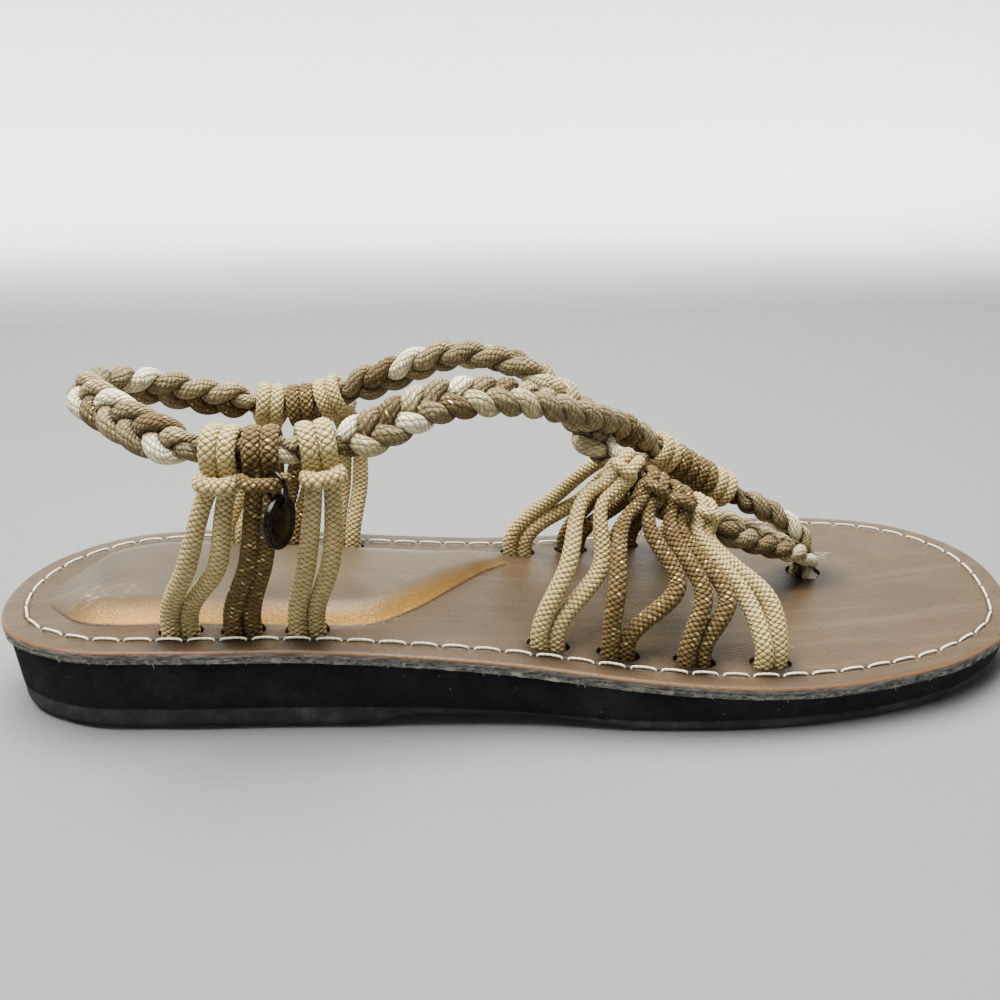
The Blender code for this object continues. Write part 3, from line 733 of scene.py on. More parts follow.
def slot_place(zone, x):
    """Centre of a slot and the direction of the sole's edge beside it."""
    edge = SoleEdge(STRAP_ZONES[zone][3])
    line = edge.outer if zone.startswith("outer") else edge.inner
    ahead = np.array([2 * EDGE_STEP, line(x + EDGE_STEP) - line(x - EDGE_STEP)])
    return np.array([x, line(x)]), unit(ahead)


SLOTS = [slot_place(zone, slot_x) for _, _, zone, _, slot_x, _, _ in LOOPS]


def slot_cutters():
    """Every slot and the toe hole, as one mesh of upright prisms."""
    bm = bmesh.new()
    holes = [(centre, ahead, SLOT_LENGTH, SLOT_WIDTH) for centre, ahead in SLOTS]
    holes.append((np.array(TOE_HOLE), np.array((1.0, 0.0)), 2 * TOE_HOLE_RADIUS, 2 * TOE_HOLE_RADIUS))
    for centre, ahead, length, width in holes:
        made = bmesh.ops.create_circle(bm, cap_ends=True, segments=SLOT_SIDES, radius=width / 2 * MM)
        disc = made["verts"]
        for vert in disc:
            vert.co.x += math.copysign((length - width) / 2 * MM, vert.co.x)
        face = list({face for vert in disc for face in vert.link_faces})
        raised = bmesh.ops.extrude_face_region(bm, geom=face)["geom"]
        raised = [vert for vert in raised if isinstance(vert, bmesh.types.BMVert)]
        bmesh.ops.translate(bm, verts=raised, vec=(0, 0, SLOT_CUT_HEIGHT * MM))
        turn = Matrix.Rotation(math.atan2(ahead[1], ahead[0]), 3, "Z")
        bmesh.ops.rotate(bm, verts=disc + raised, matrix=turn, cent=(0, 0, 0))
        bmesh.ops.translate(bm, verts=disc + raised, vec=to_scene((*centre, 0.0)))
    bmesh.ops.recalc_face_normals(bm, faces=bm.faces)
    return bm


print("slots", len(SLOTS))

# %% [markdown]
# ### Fibre board
#
# Under the leather lies a grey board of pressed fibres. Only its cut edge shows, and that edge is soft and
# frayed: its wall is pushed in and out a little, and pale fibres stand out of it further on.

# %% Fibre board
def board_material():
    material, g, shader = new_material("grey fibre board", roughness=0.95, specular_ior_level=0.1)
    place = g.place()
    fibres = g.noise(g.stretched(place, (500.0, 500.0, 1800.0)), 1.0, 4.0, 0.7)
    clumps = g.noise(place, 260.0, 4.0)
    base = g.mix(g.step(fibres, 0.35, 0.68), (0.066, 0.064, 0.060), (0.29, 0.275, 0.25))
    base = g.mix(g.step(clumps, 0.54, 0.72, 0.0, 0.7), base, (0.52, 0.48, 0.42))
    connect(g, shader, base_color=base, normal=g.bump(fibres, 0.0006))
    return material


BOARD_INSET = 0.25
BOARD_GRID = (420, 6, 4)
FRAY_SIZES, FRAY_DEPTH = (0.9, 2.3, 6.1), 0.28
RIM_STEP = 0.25


def rim_finder(inset):
    """A search tree of points along the outline, and the distance along it to each."""
    points, run, _ = SoleEdge(inset).even(RIM_STEP)
    return search_tree([(*point, 0) for point in points]), run


def fray(points):
    """Pushes the wall in and out with three waves of unlike length."""
    line = np.arctan2(points[:, 1], points[:, 0] - LENGTH / 2) * 100
    waves = sum(np.sin(line / size + 2.1 * points[:, 2]) for size in FRAY_SIZES)
    return FRAY_DEPTH * waves / len(FRAY_SIZES)


def board_height(x, level):
    low = foam_top(x) + CLEARANCE / 2
    return low + level * (bed_top(x) - LEATHER - low)


def make_board():
    bm = sole_layer(*BOARD_GRID, lambda level: BOARD_INSET, board_height)
    bm = cut_by(bm, slot_cutters())
    obj = add_piece("fibre_board", bm, board_material(), replaces=["insole_board"])
    points = points_of(obj)
    rim, _ = rim_finder(0.0)
    at_rim = np.array([rim.find((x, y, 0))[2] < 2 * BOARD_INSET for x, y, _ in points])
    outward = unit((points - (LENGTH / 2, 0, 0)) * (1, 1, 0))
    frayed = points + outward * np.where(at_rim, fray(points), 0.0)[:, None]
    obj.data.vertices.foreach_set("co", to_scene(frayed).ravel())
    return obj


board = make_board()
print("board", len(board.data.polygons), "faces")

# %% [markdown]
# ### Leather footbed
#
# The footbed is brown leather with a satin finish. A long cushion is moulded into its heel and arch. Its top is
# painted lighter as a painted highlight, and its outer slope is painted golden and half metallic as a painted
# reflection. Numbers stored on the vertices tell the material where the cushion, the seam, the rim and the
# painted shadows are, so the finish follows the shape.

# %% Footbed finish
def leather_material():
    material, g, shader = new_material("satin brown leather", specular_ior_level=0.24)
    place = g.place()
    grain = g.group(GRAIN, vector=place)
    base = g.mix(grain["Mottle"], (0.046, 0.027, 0.012), (0.092, 0.058, 0.029))
    base = g.mix(g.product(g.step(grain["Streak"], 0.48, 0.72), 0.30), base, (0.155, 0.103, 0.058))
    pad = g.read("pad")
    # Painted highlight: the cushion top is mixed towards a lighter, greyer brown for its glancing satin
    # reflection.
    base = g.mix(g.product(pad, 0.55), base, (0.100, 0.075, 0.046))
    smoke = g.step(g.noise(place, 34.0, 4.0, 0.6), 0.44, 0.66, 0.0, 0.75)
    base = g.mix(g.product(pad, smoke), base, (0.056, 0.036, 0.018))
    # Painted reflection: the golden, half metallic colour on the cushion's outer slope stands in for the warm
    # reflection that slope shows, with flakes of sparkle in it.
    flake = g.step(g.noise(place, 2600.0, 3.0, 0.7), 0.36, 0.64, 0.45, 1.0)
    painted_gold_reflection = g.product(g.read("painted_gold_reflection"), g.step(grain["Mottle"], 0.25, 0.55, 0.75, 1.0), flake)
    base = g.mix(painted_gold_reflection, base, (0.54, 0.275, 0.032))
    # Painted shade: a dark line along the foot of the cushion's slope.
    painted_crease_shade = g.step(g.size(g.minus(g.read("slope"), 0.01)), 0.075, 0.01, 0.0, 0.85)
    base = g.mix(painted_crease_shade, base, (0.022, 0.012, 0.006))
    speck = g.step(g.noise(place, 380.0, 4.0, 0.65), 0.50, 0.66)
    base = g.mix(g.product(g.read("worn"), speck, pad, 0.6), base, (0.42, 0.33, 0.19))
    base = g.mix(g.step(g.read("rim"), 1.0, 0.2, 0.0, 0.45), base, (0.24, 0.120, 0.052))
    # Painted shadow and dark reflection: near black where the cords shade the leather by the slots and the toe
    # hole, and are mirrored in it.
    painted_dark = g.product(g.read("painted_shadow"), g.step(grain["Mottle"], 0.2, 0.6, 0.7, 1.0))
    base = g.mix(g.product(painted_dark, 0.92), base, (0.010, 0.006, 0.004))
    seam = g.read("seam")
    # Painted shade: the needle holes are painted near black and the stitch groove darker, for the shade inside
    # these recesses; the bump below dents both.
    phase = g.math("ARCTAN2", g.read("stitch_sin"), g.read("stitch_cos"))
    pierced = g.product(g.step(g.size(phase), 0.55, 0.20), g.step(seam, 0.60, 0.25))
    base = g.mix(pierced, base, (0.010, 0.006, 0.004))
    groove = g.step(seam, 1.1, 0.1)
    base = g.mix(g.product(groove, 0.35), base, (0.03, 0.018, 0.011))
    rough = g.plus(g.step(grain["Mottle"], 0.3, 0.7, 0.44, 0.31), g.product(painted_gold_reflection, 0.18))
    connect(g, shader, base_color=base, roughness=rough, metallic=g.product(painted_gold_reflection, 0.5))
    dips = g.plus(groove, g.product(pierced, 2.0))
    connect(g, shader, normal=g.bump(g.minus(g.product(grain["Height"], 0.30), dips), 0.00035))
    return material


def cut_edge_material():
    material, g, shader = new_material("cut leather edge", roughness=0.9)
    place = g.place()
    fibres = g.noise(g.stretched(place, (300.0, 300.0, 1500.0)), 1.0, 5.0, 0.7)
    blotch = g.noise(place, 130.0, 3.0)
    base = g.mix(g.step(fibres, 0.35, 0.7), (0.085, 0.036, 0.016), (0.34, 0.165, 0.075))
    base = g.mix(g.step(blotch, 0.5, 0.75), base, (0.10, 0.058, 0.038))
    felt = g.mix(g.step(fibres, 0.35, 0.7), (0.060, 0.058, 0.055), (0.26, 0.25, 0.235))
    wander = g.plus(g.read("edge_up"), g.sway(blotch, 0.7))
    base = g.mix(g.step(wander, 0.72, 0.50), base, felt)
    connect(g, shader, base_color=base, normal=g.bump(fibres, 0.0004))
    return material


# %% Footbed
STITCH_INSET = 5.3
STITCH_PITCH = 7.09
RIM_ROUND = 0.5
BED_GRID = (250, 84, 5)
cushion_curve = spline(CUSHION, measured=1)


def cushion_edges(x):
    low, high, rise = [np.interp(x, cushion_curve[:, 0], column) for column in cushion_curve.T[1:]]
    return low, high, np.maximum(rise, 0)


def slope_share(x, y):
    """0 at the cushion's edge and 1 where its top begins, from the outer and the inner side."""
    low, high, _ = cushion_edges(x)
    slope = np.maximum(np.minimum(CUSHION_SLOPE, (high - low) / 3), 0.5)
    return np.clip((y - low) / slope, 0, 1), np.clip((high - y) / slope, 0, 1)


def cushion_rise(x, y):
    outer, inner = slope_share(x, y)
    return cushion_edges(x)[2] * np.sin(np.pi / 2 * outer) * np.sin(np.pi / 2 * inner)


def bed_height(x, level):
    low = bed_top(x) - LEATHER + CLEARANCE / 2
    return low + level * (bed_top(x) - low)


def bed_inset(level):
    return RIM_ROUND * smoothstep(level, 0.55, 1.0) ** 2


# Size and place of the painted shadow and dark reflection at each slot and round the toe hole.
SHADOW_HALF_LENGTH, SHADOW_HALF_WIDTH, SHADOW_OUTWARDS = 6.2, 5.5, 3.6
SHADOW_FADE, SHADOW_FADES_BY = (5.0, 9.0), 0.3
TOE_SHADOW_SHIFT, TOE_SHADOW_RADIUS = (0.5, -4.0), 9.5
MIDDLE_Y = 7.0


def painted_shadow_mask(points):
    """Painted shadow and dark reflection at the slots, out towards the rim, and round the toe hole."""
    amount = 0.0
    for centre, ahead in SLOTS:
        aside = np.array((-ahead[1], ahead[0]))
        aside = aside * np.sign(aside @ (centre - (centre[0], MIDDLE_Y)))
        gap = points[:, :2] - centre
        lengthwise, outwards = gap @ ahead, gap @ aside
        spot = np.exp(-((lengthwise / SHADOW_HALF_LENGTH) ** 4))
        spot = spot * np.exp(-(((outwards - SHADOW_OUTWARDS) / SHADOW_HALF_WIDTH) ** 4))
        amount = np.maximum(amount, spot * (1 - SHADOW_FADES_BY * smoothstep(outwards, *SHADOW_FADE)))
    ring = np.hypot(*(points[:, :2] - TOE_HOLE - TOE_SHADOW_SHIFT).T)
    return np.maximum(amount, np.exp(-((ring / TOE_SHADOW_RADIUS) ** 3)))


WORN_SPOT, WORN_REACH = (22.0, -3.0), (8.5, 6.5)
# Where the painted golden reflection on the cushion's slope fades in and out along the sole.
REFLECTION_STARTS, REFLECTION_FADES = (14, 30), (96, 112)
RAISED = 0.2


def paint_footbed(obj):
    points = points_of(obj)
    x, y = points[:, 0], points[:, 1]
    outer, inner = slope_share(x, y)
    raised = cushion_edges(x)[2] > RAISED
    paint(obj, "pad", raised * np.minimum(outer, inner))
    # The golden band on the outer slope is a painted reflection, strongest near the foot of the slope.
    bulge = smoothstep(outer, 0.0, 0.08) * (1 - outer) ** 1.5 * (inner > 0.9)
    fading = 1 - 0.5 * smoothstep(x, *REFLECTION_FADES)
    paint(obj, "painted_gold_reflection", raised * bulge * smoothstep(x, *REFLECTION_STARTS) * fading)
    low, high, _ = cushion_edges(x)
    paint(obj, "slope", np.where(raised, np.clip(np.minimum(y - low, high - y) / CUSHION_SLOPE, -1, 1), -1))
    paint(obj, "worn", np.exp(-(np.hypot(*((points[:, :2] - WORN_SPOT) / WORN_REACH).T) ** 2)))
    paint(obj, "edge_up", (points[:, 2] - bed_top(x)) / LEATHER + 1)
    paint(obj, "painted_shadow", painted_shadow_mask(points))
    rim_tree, _ = rim_finder(0.0)
    seam_tree, seam_run = rim_finder(STITCH_INSET)
    rim, seam, run = np.empty((3, len(points)))
    for i, (px, py) in enumerate(points[:, :2]):
        rim[i] = rim_tree.find((px, py, 0))[2]
        _, nearest, seam[i] = seam_tree.find((px, py, 0))
        run[i] = seam_run[nearest]
    total = SoleEdge(STITCH_INSET).even(RIM_STEP)[2]
    phase = 2 * np.pi * run * round(total / STITCH_PITCH) / total
    paint(obj, "rim", rim)
    paint(obj, "seam", seam)
    paint(obj, "stitch_sin", np.sin(phase))
    paint(obj, "stitch_cos", np.cos(phase))
    return rim


def make_footbed():
    bm = cut_by(sole_layer(*BED_GRID, bed_inset, bed_height, cushion_rise), slot_cutters())
    obj = add_piece("leather_footbed", bm, leather_material(), replaces=["footbed"])
    obj.data.materials.append(cut_edge_material())
    obj.data.set_sharp_from_angle(angle=math.radians(50))
    rim = paint_footbed(obj)
    for polygon in obj.data.polygons:
        near = min(rim[vertex] for vertex in polygon.vertices)
        if abs(polygon.normal.z) < 0.6 and near < 1.0:
            polygon.material_index = 1
    return obj


footbed = make_footbed()
print("footbed", len(footbed.data.polygons), "faces")

# %% [markdown]
# ### Seam
#
# A thick off-white thread runs round the footbed in long stitches. Each stitch is a short two-ply thread that
# rises out of its needle hole, bows over the leather and goes down again.

# %% Stitches
THREAD_RADIUS = 0.29
STITCH_GAP = 0.75
STITCH_RISE = 0.34
STITCH_STATIONS = 22
STITCH_SIDES = 8
STITCH_BOW, STITCH_SWAY, SWAY_STEP = 0.22, 0.16, 2.4
STITCH_SEAT, STITCH_SINK, STITCH_END = 0.55, 1.1, 0.09
PLY_DEPTH, PLY_TWISTS = 0.15, 5.0


def thread_material():
    material, g, shader = new_material("off-white thread", roughness=0.75)
    place = g.place()
    tone = g.noise(place, 300.0, 3.0)
    base = g.mix(tone, (0.60, 0.52, 0.37), (0.92, 0.84, 0.66))
    connect(g, shader, base_color=base, normal=g.bump(g.noise(place, 4200.0), 0.0001))
    return material


def ply_relief(round_share, run):
    """Two plies twisted round each other."""
    return PLY_DEPTH * THREAD_RADIUS * np.cos(4 * np.pi * round_share + PLY_TWISTS * run)


def make_stitches():
    line, run, total = SoleEdge(STITCH_INSET).even(RIM_STEP)
    line = np.vstack([line, line[:1]])
    run = np.append(run, total)
    count = round(total / STITCH_PITCH)
    pitch = total / count
    bm = bmesh.new()
    t = np.linspace(0, 1, STITCH_STATIONS)
    for i in range(count):
        sway = STITCH_SWAY * math.sin(SWAY_STEP * i)
        places = i * pitch + STITCH_GAP / 2 + t * (pitch - STITCH_GAP)
        ground = read(line, run, places % total)
        inward = unit(np.array((LENGTH / 2, 4.0)) - ground)
        ground = ground + inward * (STITCH_BOW * np.sin(np.pi * t) + sway * (t - 0.5))[:, None]
        lift = THREAD_RADIUS * STITCH_SEAT + STITCH_RISE * np.sin(np.pi * t) ** 0.6
        lift = lift - STITCH_SINK * (1 - smoothstep(np.minimum(t, 1 - t), 0.0, STITCH_END))
        height = bed_top(ground[:, 0]) + cushion_rise(ground[:, 0], ground[:, 1]) + lift
        path = np.column_stack([ground, height])
        sweep(bm, path, UP, THREAD_RADIUS, THREAD_RADIUS, STITCH_SIDES, ply_relief)
    add_piece("seam_stitches", bm, thread_material())
    return count


print("stitches", make_stitches())

# %% [markdown]
# ## Plaited strap
#
# The strap is a plait of three soft braided strands. Seen across, each strand swings from edge to edge while
# it dips from the front of the plait to the back, and it rolls over as it turns round an edge. Where loops
# are hitched on, the plait is squeezed to a round core. The strands are dyed in lengths of cream, tan, taupe
# and brown, and those lengths are charted below, one letter for each half turn of the plait.

# %% Strap route
STRAP_ROUTE = (  # x, y, z, face angle
    (210.9, 8.8, 15.6, 110),
    (208.0, 9.6, 24.0, 115),
    (201.5, 11.2, 29.0, 118),
    (189.0, 13.0, 35.4, 118),
    (173.0, 11.5, 44.8, 115),
    (156.0, 5.0, 57.2, 108),
    (138.5, -6.0, 66.4, 96),
    (120.7, -11.0, 72.4, 66),
    (105.5, -14.5, 72.8, 48),
    (87.7, -19.5, 67.2, 30),
    (67.5, -22.0, 65.6, 20),
    (50.7, -18.5, 66.6, 26),
    (33.9, -5.0, 71.0, 40),
    (25.6, 9.5, 72.4, 42),
    (33.4, 23.5, 69.6, 38),
    (54.4, 31.0, 63.0, 26),
    (72.8, 32.0, 60.6, 20),
    (94.8, 28.0, 68.4, 40),
    (112.0, 21.8, 75.0, 64),
    (128.1, 16.0, 73.4, 80),
    (141.2, 9.0, 64.2, 98),
    (146.2, -4.4, 55.8, 114),
    (153.4, -9.8, 50.0, 118),
    (170.6, -10.6, 39.4, 122),
    (186.0, -5.6, 31.0, 120),
    (200.5, 1.2, 23.4, 112),
    (207.4, 5.2, 19.6, 106),
    (210.8, 6.9, 15.6, 102),
)
PLAIT_PITCHES = (  # place along the strap, length of one turn there
    (0, 18.0),
    (110, 16.5),
    (165, 16.5),
    (192, 22.0),
    (372, 22.0),
    (405, 25.0),
    (470, 25.0),
)
TOE_SCALE, TOE_TAPER = 0.78, 45.0
CORE_MARGIN, CORE_FADE = 1.2, 5.0
TOE_LEAD = 6.0
TURN_STEP, TURN_LEAD = 0.5, 10.0
route = spline(STRAP_ROUTE)
route_run = along(route)
strap_length = route_run[-1]


def zone_centre(zone):
    return route_run[np.argmin(np.linalg.norm(route[:, :2] - STRAP_ZONES[zone][0], axis=1))]


def strap_frame(places):
    """Points of the strap's centre line, and its ways ahead, out of its flat face, and across."""
    row = read(route, route_run, places)
    ahead = read(route, route_run, places + 0.5) - read(route, route_run, places - 0.5)
    ahead = unit(ahead[..., :3])
    left = unit(np.cross(UP, ahead))
    lift = np.cross(ahead, left)
    turn = np.radians(row[..., 3:])
    out = np.cos(turn) * left + np.sin(turn) * lift
    return row[..., :3], ahead, out, np.cross(out, ahead)


def turns_at(places):
    """Turns of the plait from its start to each place."""
    fine = np.arange(-TURN_LEAD, strap_length + TURN_LEAD, TURN_STEP)
    turns = np.cumsum(TURN_STEP / np.interp(fine, *zip(*PLAIT_PITCHES)))
    return np.interp(places, fine, turns)


def squeeze(places):
    """How much hitches squeeze the strap, from 0 to 1, and the core that they squeeze it to."""
    amount, core = np.zeros((2, len(places)))
    for zone, (_, half, radius, _, _, _) in STRAP_ZONES.items():
        reach = max(abs(loop[3]) for loop in LOOPS if loop[2] == zone) + half + CORE_MARGIN
        grip = 1 - smoothstep(np.abs(places - zone_centre(zone)), reach, reach + CORE_FADE)
        core = np.where(grip > amount, radius, core)
        amount = np.maximum(amount, grip)
    return amount, core


print("strap", round(strap_length), "mm")

# %% Strand finish
STRAND_COLUMNS = 18
STRAND_GRAIN = 1.5


def plait_material():
    material, g, shader = new_material("dyed soft cord", specular_ior_level=0.15, sheen_weight=0.06)
    braid = g.group(BRAID, uv=g.uv(), columns=STRAND_COLUMNS, wander=0.9)
    tone = g.plus(g.read("tone"), g.sway(braid["Random"], 0.17))
    ramp = g.put("ShaderNodeValToRGB", {0: tone})
    stops = (
        (0.0, (1.0, 0.92, 0.66)),
        (0.3, (0.56, 0.455, 0.245)),
        (0.62, (0.265, 0.205, 0.108)),
        (1.0, (0.165, 0.112, 0.044)),
    )
    while len(ramp.color_ramp.elements) < len(stops):
        ramp.color_ramp.elements.new(0.5)
    for element, (position, colour) in zip(ramp.color_ramp.elements, stops):
        element.position = position
        element.color = (*colour, 1)
    base = ramp.outputs[0]
    # Painted shade: the grooves between the yarn grains are darkened.
    groove = g.mix(1.0, base, (0.64, 0.57, 0.46), "MULTIPLY")
    base = g.mix(g.step(braid["Height"], 0.65, 0.05), base, groove)
    # Painted shade: the strand is painted much darker where it presses against another strand.
    sunk = g.mix(1.0, base, (0.16, 0.11, 0.06), "MULTIPLY")
    base = g.mix(g.product(g.read("crevice"), 0.92), base, sunk)
    glitter = g.product(braid["Dash"], g.step(braid["Random"], 0.80, 0.88), g.step(tone, 0.74, 0.86))
    base = g.mix(glitter, base, (0.85, 0.64, 0.30))
    connect(g, shader, base_color=base, metallic=g.product(glitter, 0.8))
    connect(g, shader, roughness=g.step(glitter, 0.0, 1.0, 0.85, 0.3))
    yarn = g.noise(g.place(), 3800.0)
    connect(g, shader, normal=g.bump(g.plus(braid["Height"], g.product(yarn, 0.35)), 0.00058))
    return material


# %% Strands
STRAND_STEP = 0.34
STRAND_SIDES = 30
SWING, DIP = 3.35, 1.45
STRAND_HALF_WIDE, STRAND_HALF_THICK = 2.25, 1.85
CORE_SWING, CORE_HALF = 0.42, 0.56  # shares of the core's radius
STRAND_RELIEF = 0.07
# The crevice mask drives painted shade where the strands press together.
CREVICE = (1.8, 3.0)  # gaps to another strand's middle, from dark to clear
TONE_HOLDS = 0.86
TONES = {"w": 0.0, "c": 0.28, "t": 0.48, "p": 0.64, "b": 1.0}
STRAND_TONES = (  # white, cream, tan, taupe and brown, by half turns from the toe
    "ttwcptpccp pcptpwpbct wtpbttpppt bptpptcpcp wtpbpbpwpt tttt",
    "tttwpbtppb bcptcpbcpw tcttpwwppp btctpwpptc ttpwtbtwpc tttt",
    "ttttppctpp ttptpbcpwp btcpwpbttw ptbcpbtpbc pctptptcpc pttt",
)


def braid_relief(columns, grain, depth):
    """How far each point of a cord stands out, with the same crossing yarns that the finish shows."""

    def relief(round_share, run):
        half, row = round_share * columns / 2, run / grain
        right, left = half + row, half - row
        right_off, left_off = right - np.floor(right) - 0.5, left - np.floor(left) - 0.5
        left_on_top = (np.floor(right) + np.floor(left)) % 2 == 1
        across = np.where(left_on_top, left_off, right_off)
        along_yarn = np.where(left_on_top, right_off, left_off)
        bulge = np.maximum((1 - 4 * across**2) * (1 - GRAIN_ENDS * along_yarn**2), 0)
        return depth * (bulge**GRAIN_PLUMPNESS - 0.5)

    return relief


def charted_tone(strand, places):
    """The chart's tone at each place. It changes where the strand dives under the next one."""
    steps = np.array([TONES[letter] for letter in STRAND_TONES[strand].replace(" ", "")])
    half_turns = 2 * (turns_at(places) + strand / 3)
    index = half_turns.astype(int)
    share = smoothstep(half_turns - index, TONE_HOLDS, 1.0)
    return steps[index] * (1 - share) + steps[index + 1] * share


def strand_rows(strand):
    """One strand's stations along the strap: places, points, faces and half sizes."""
    places = np.arange(-TOE_LEAD, strap_length + TOE_LEAD, STRAND_STEP)
    point, _, out, across = strap_frame(np.clip(places, 0, strap_length))
    point[:, 2] += np.minimum(places, 0) - np.maximum(places - strap_length, 0)
    size = TOE_SCALE + (1 - TOE_SCALE) * smoothstep(np.minimum(places, strap_length - places), 0, TOE_TAPER)
    tight, core = squeeze(places)
    phase = 2 * np.pi * (turns_at(places) + strand / 3)
    swing = (size * SWING * (1 - tight) + core * CORE_SWING * tight) * np.sin(phase)
    dip = (size * DIP * (1 - tight) + core * CORE_SWING * tight) * np.sin(2 * phase)
    path = point + swing[:, None] * across - dip[:, None] * out
    roll = (np.pi / 2 * (1 + np.cos(phase)))[:, None]
    face = np.cos(roll) * out + np.sin(roll) * across
    half_wide = size * STRAND_HALF_WIDE * (1 - tight) + core * CORE_HALF * tight
    half_thick = size * STRAND_HALF_THICK * (1 - tight) + core * CORE_HALF * tight
    return places, path, face, half_wide, half_thick


def crevices(obj, paths):
    """1 where a strand's surface sinks against one of the other strands, and 0 in the open. The finish paints
    shade there.
    """
    tree = search_tree(np.vstack(paths))
    gaps = np.array([tree.find(point)[2] for point in points_of(obj)])
    return 1 - smoothstep(gaps, *CREVICE)


def make_strand(strand, rows, material):
    places, path, face, half_wide, half_thick = rows[strand]
    bm = bmesh.new()
    relief = braid_relief(STRAND_COLUMNS, STRAND_GRAIN, STRAND_RELIEF)
    sweep(bm, path, face, half_wide, half_thick, STRAND_SIDES, relief)
    tone = bm.verts.layers.float.new("tone")
    station = np.repeat(np.arange(len(places)), STRAND_SIDES + 1)
    for vert, value in zip(bm.verts, charted_tone(strand, places)[station]):
        vert[tone] = value
    uv_scale = (STRAND_COLUMNS, along(path)[-1] / STRAND_GRAIN)
    name = f"plait_strand_{strand + 1}"
    obj = add_piece(name, bm, material, replaces=["braid_strap"], uv_scale=uv_scale)
    paint(obj, "crevice", crevices(obj, [row[1] for row in rows if row is not rows[strand]]))
    return obj


PLAIT = plait_material()
strand_stations = [strand_rows(strand) for strand in range(3)]
strands = [make_strand(strand, strand_stations, PLAIT) for strand in range(3)]
print("strands", [len(strand.data.polygons) for strand in strands])

# %% [markdown]
# ## Cord loops
#
# Each loop is one cord, hitched round the strap. Its two legs rise from a slot, pass behind the bar, run up
# the front of the strap side by side, go over its top and down its back, and come forward again under it to
# meet in the bar, which holds the legs. The route is written once, for one half, in the hitch's own
# directions: towards the toe, out of the strap's face, and down.

# %% Cord finishes
CORD_COLUMNS = 12
CORD_GRAIN = 1.3


def cord_material(name, light, dark, shadow, flecks):
    material, g, shader = new_material(name, roughness=0.8, specular_ior_level=0.15, sheen_weight=0.05)
    braid = g.group(BRAID, uv=g.uv(), columns=CORD_COLUMNS, wander=0.4)
    place = g.place()
    drift = g.noise(place, 90.0, 3.0)
    tone = g.plus(g.product(braid["Random"], 0.55), g.product(drift, 0.45))
    base = g.mix(tone, dark, light)
    base = g.mix(g.step(braid["Height"], 0.62, 0.05), base, shadow)
    yarn = g.noise(place, 4200.0)
    height = g.plus(braid["Height"], g.product(yarn, 0.25))
    if flecks:
        glint = g.product(braid["Dash"], g.step(braid["Random"], 0.82, 0.90))
        base = g.mix(glint, base, (0.95, 0.74, 0.40))
        connect(g, shader, metallic=g.product(glint, 0.75), roughness=g.step(glint, 0.0, 1.0, 0.75, 0.25))
    connect(g, shader, base_color=base, normal=g.bump(height, 0.0004))
    return material


CORD_COLOURS = {  # light, dark and shadow, and whether bright flecks are spun in
    "cream": ((0.72, 0.56, 0.265), (0.50, 0.375, 0.155), (0.17, 0.115, 0.040), False),
    "brown": ((0.265, 0.175, 0.060), (0.098, 0.060, 0.018), (0.020, 0.011, 0.004), True),
}
CORDS = {name: cord_material(f"{name} cord", *row) for name, row in CORD_COLOURS.items()}
print("cords", list(CORDS))

# %% Hitches and legs
CORD_STEP = 0.36
CORD_SIDES = 30
CORD_RELIEF = 0.20
CORD_HALF_WIDE, CORD_HALF_THICK = 2.12, 2.0
WRAP_GAP, WRAP_HALF_THICK = 0.25, 1.2
WRAP_ANGLES = (48, 15, -20, -55, -90, -125, -160, -195, -228)
LEG_BEHIND = (-0.2, 9.6)
LEG_LEAN = 0.17
LEG_UNDER_BAR, LEG_UNDER_BAR_HALF = (0.7, 6.9), 1.5
COME_BACK = (0.6, 5.4)  # out and down, where the cord turns forward under the strap
BAR_INDENT, BAR_CORNER = 0.4, (1.3, 0.9)
FOOT_PITCH, FOOT_STAGGER, FOOT_RISE = 4.2, 0.6, 3.0
CHARM_LOOP = "heel_loop_outer_middle"
CHARM_BAR, CHARM_BAR_REACHES, CHARM_BAR_RADIUS = (8.2, 7.0), (3.3, 4.9), 1.42


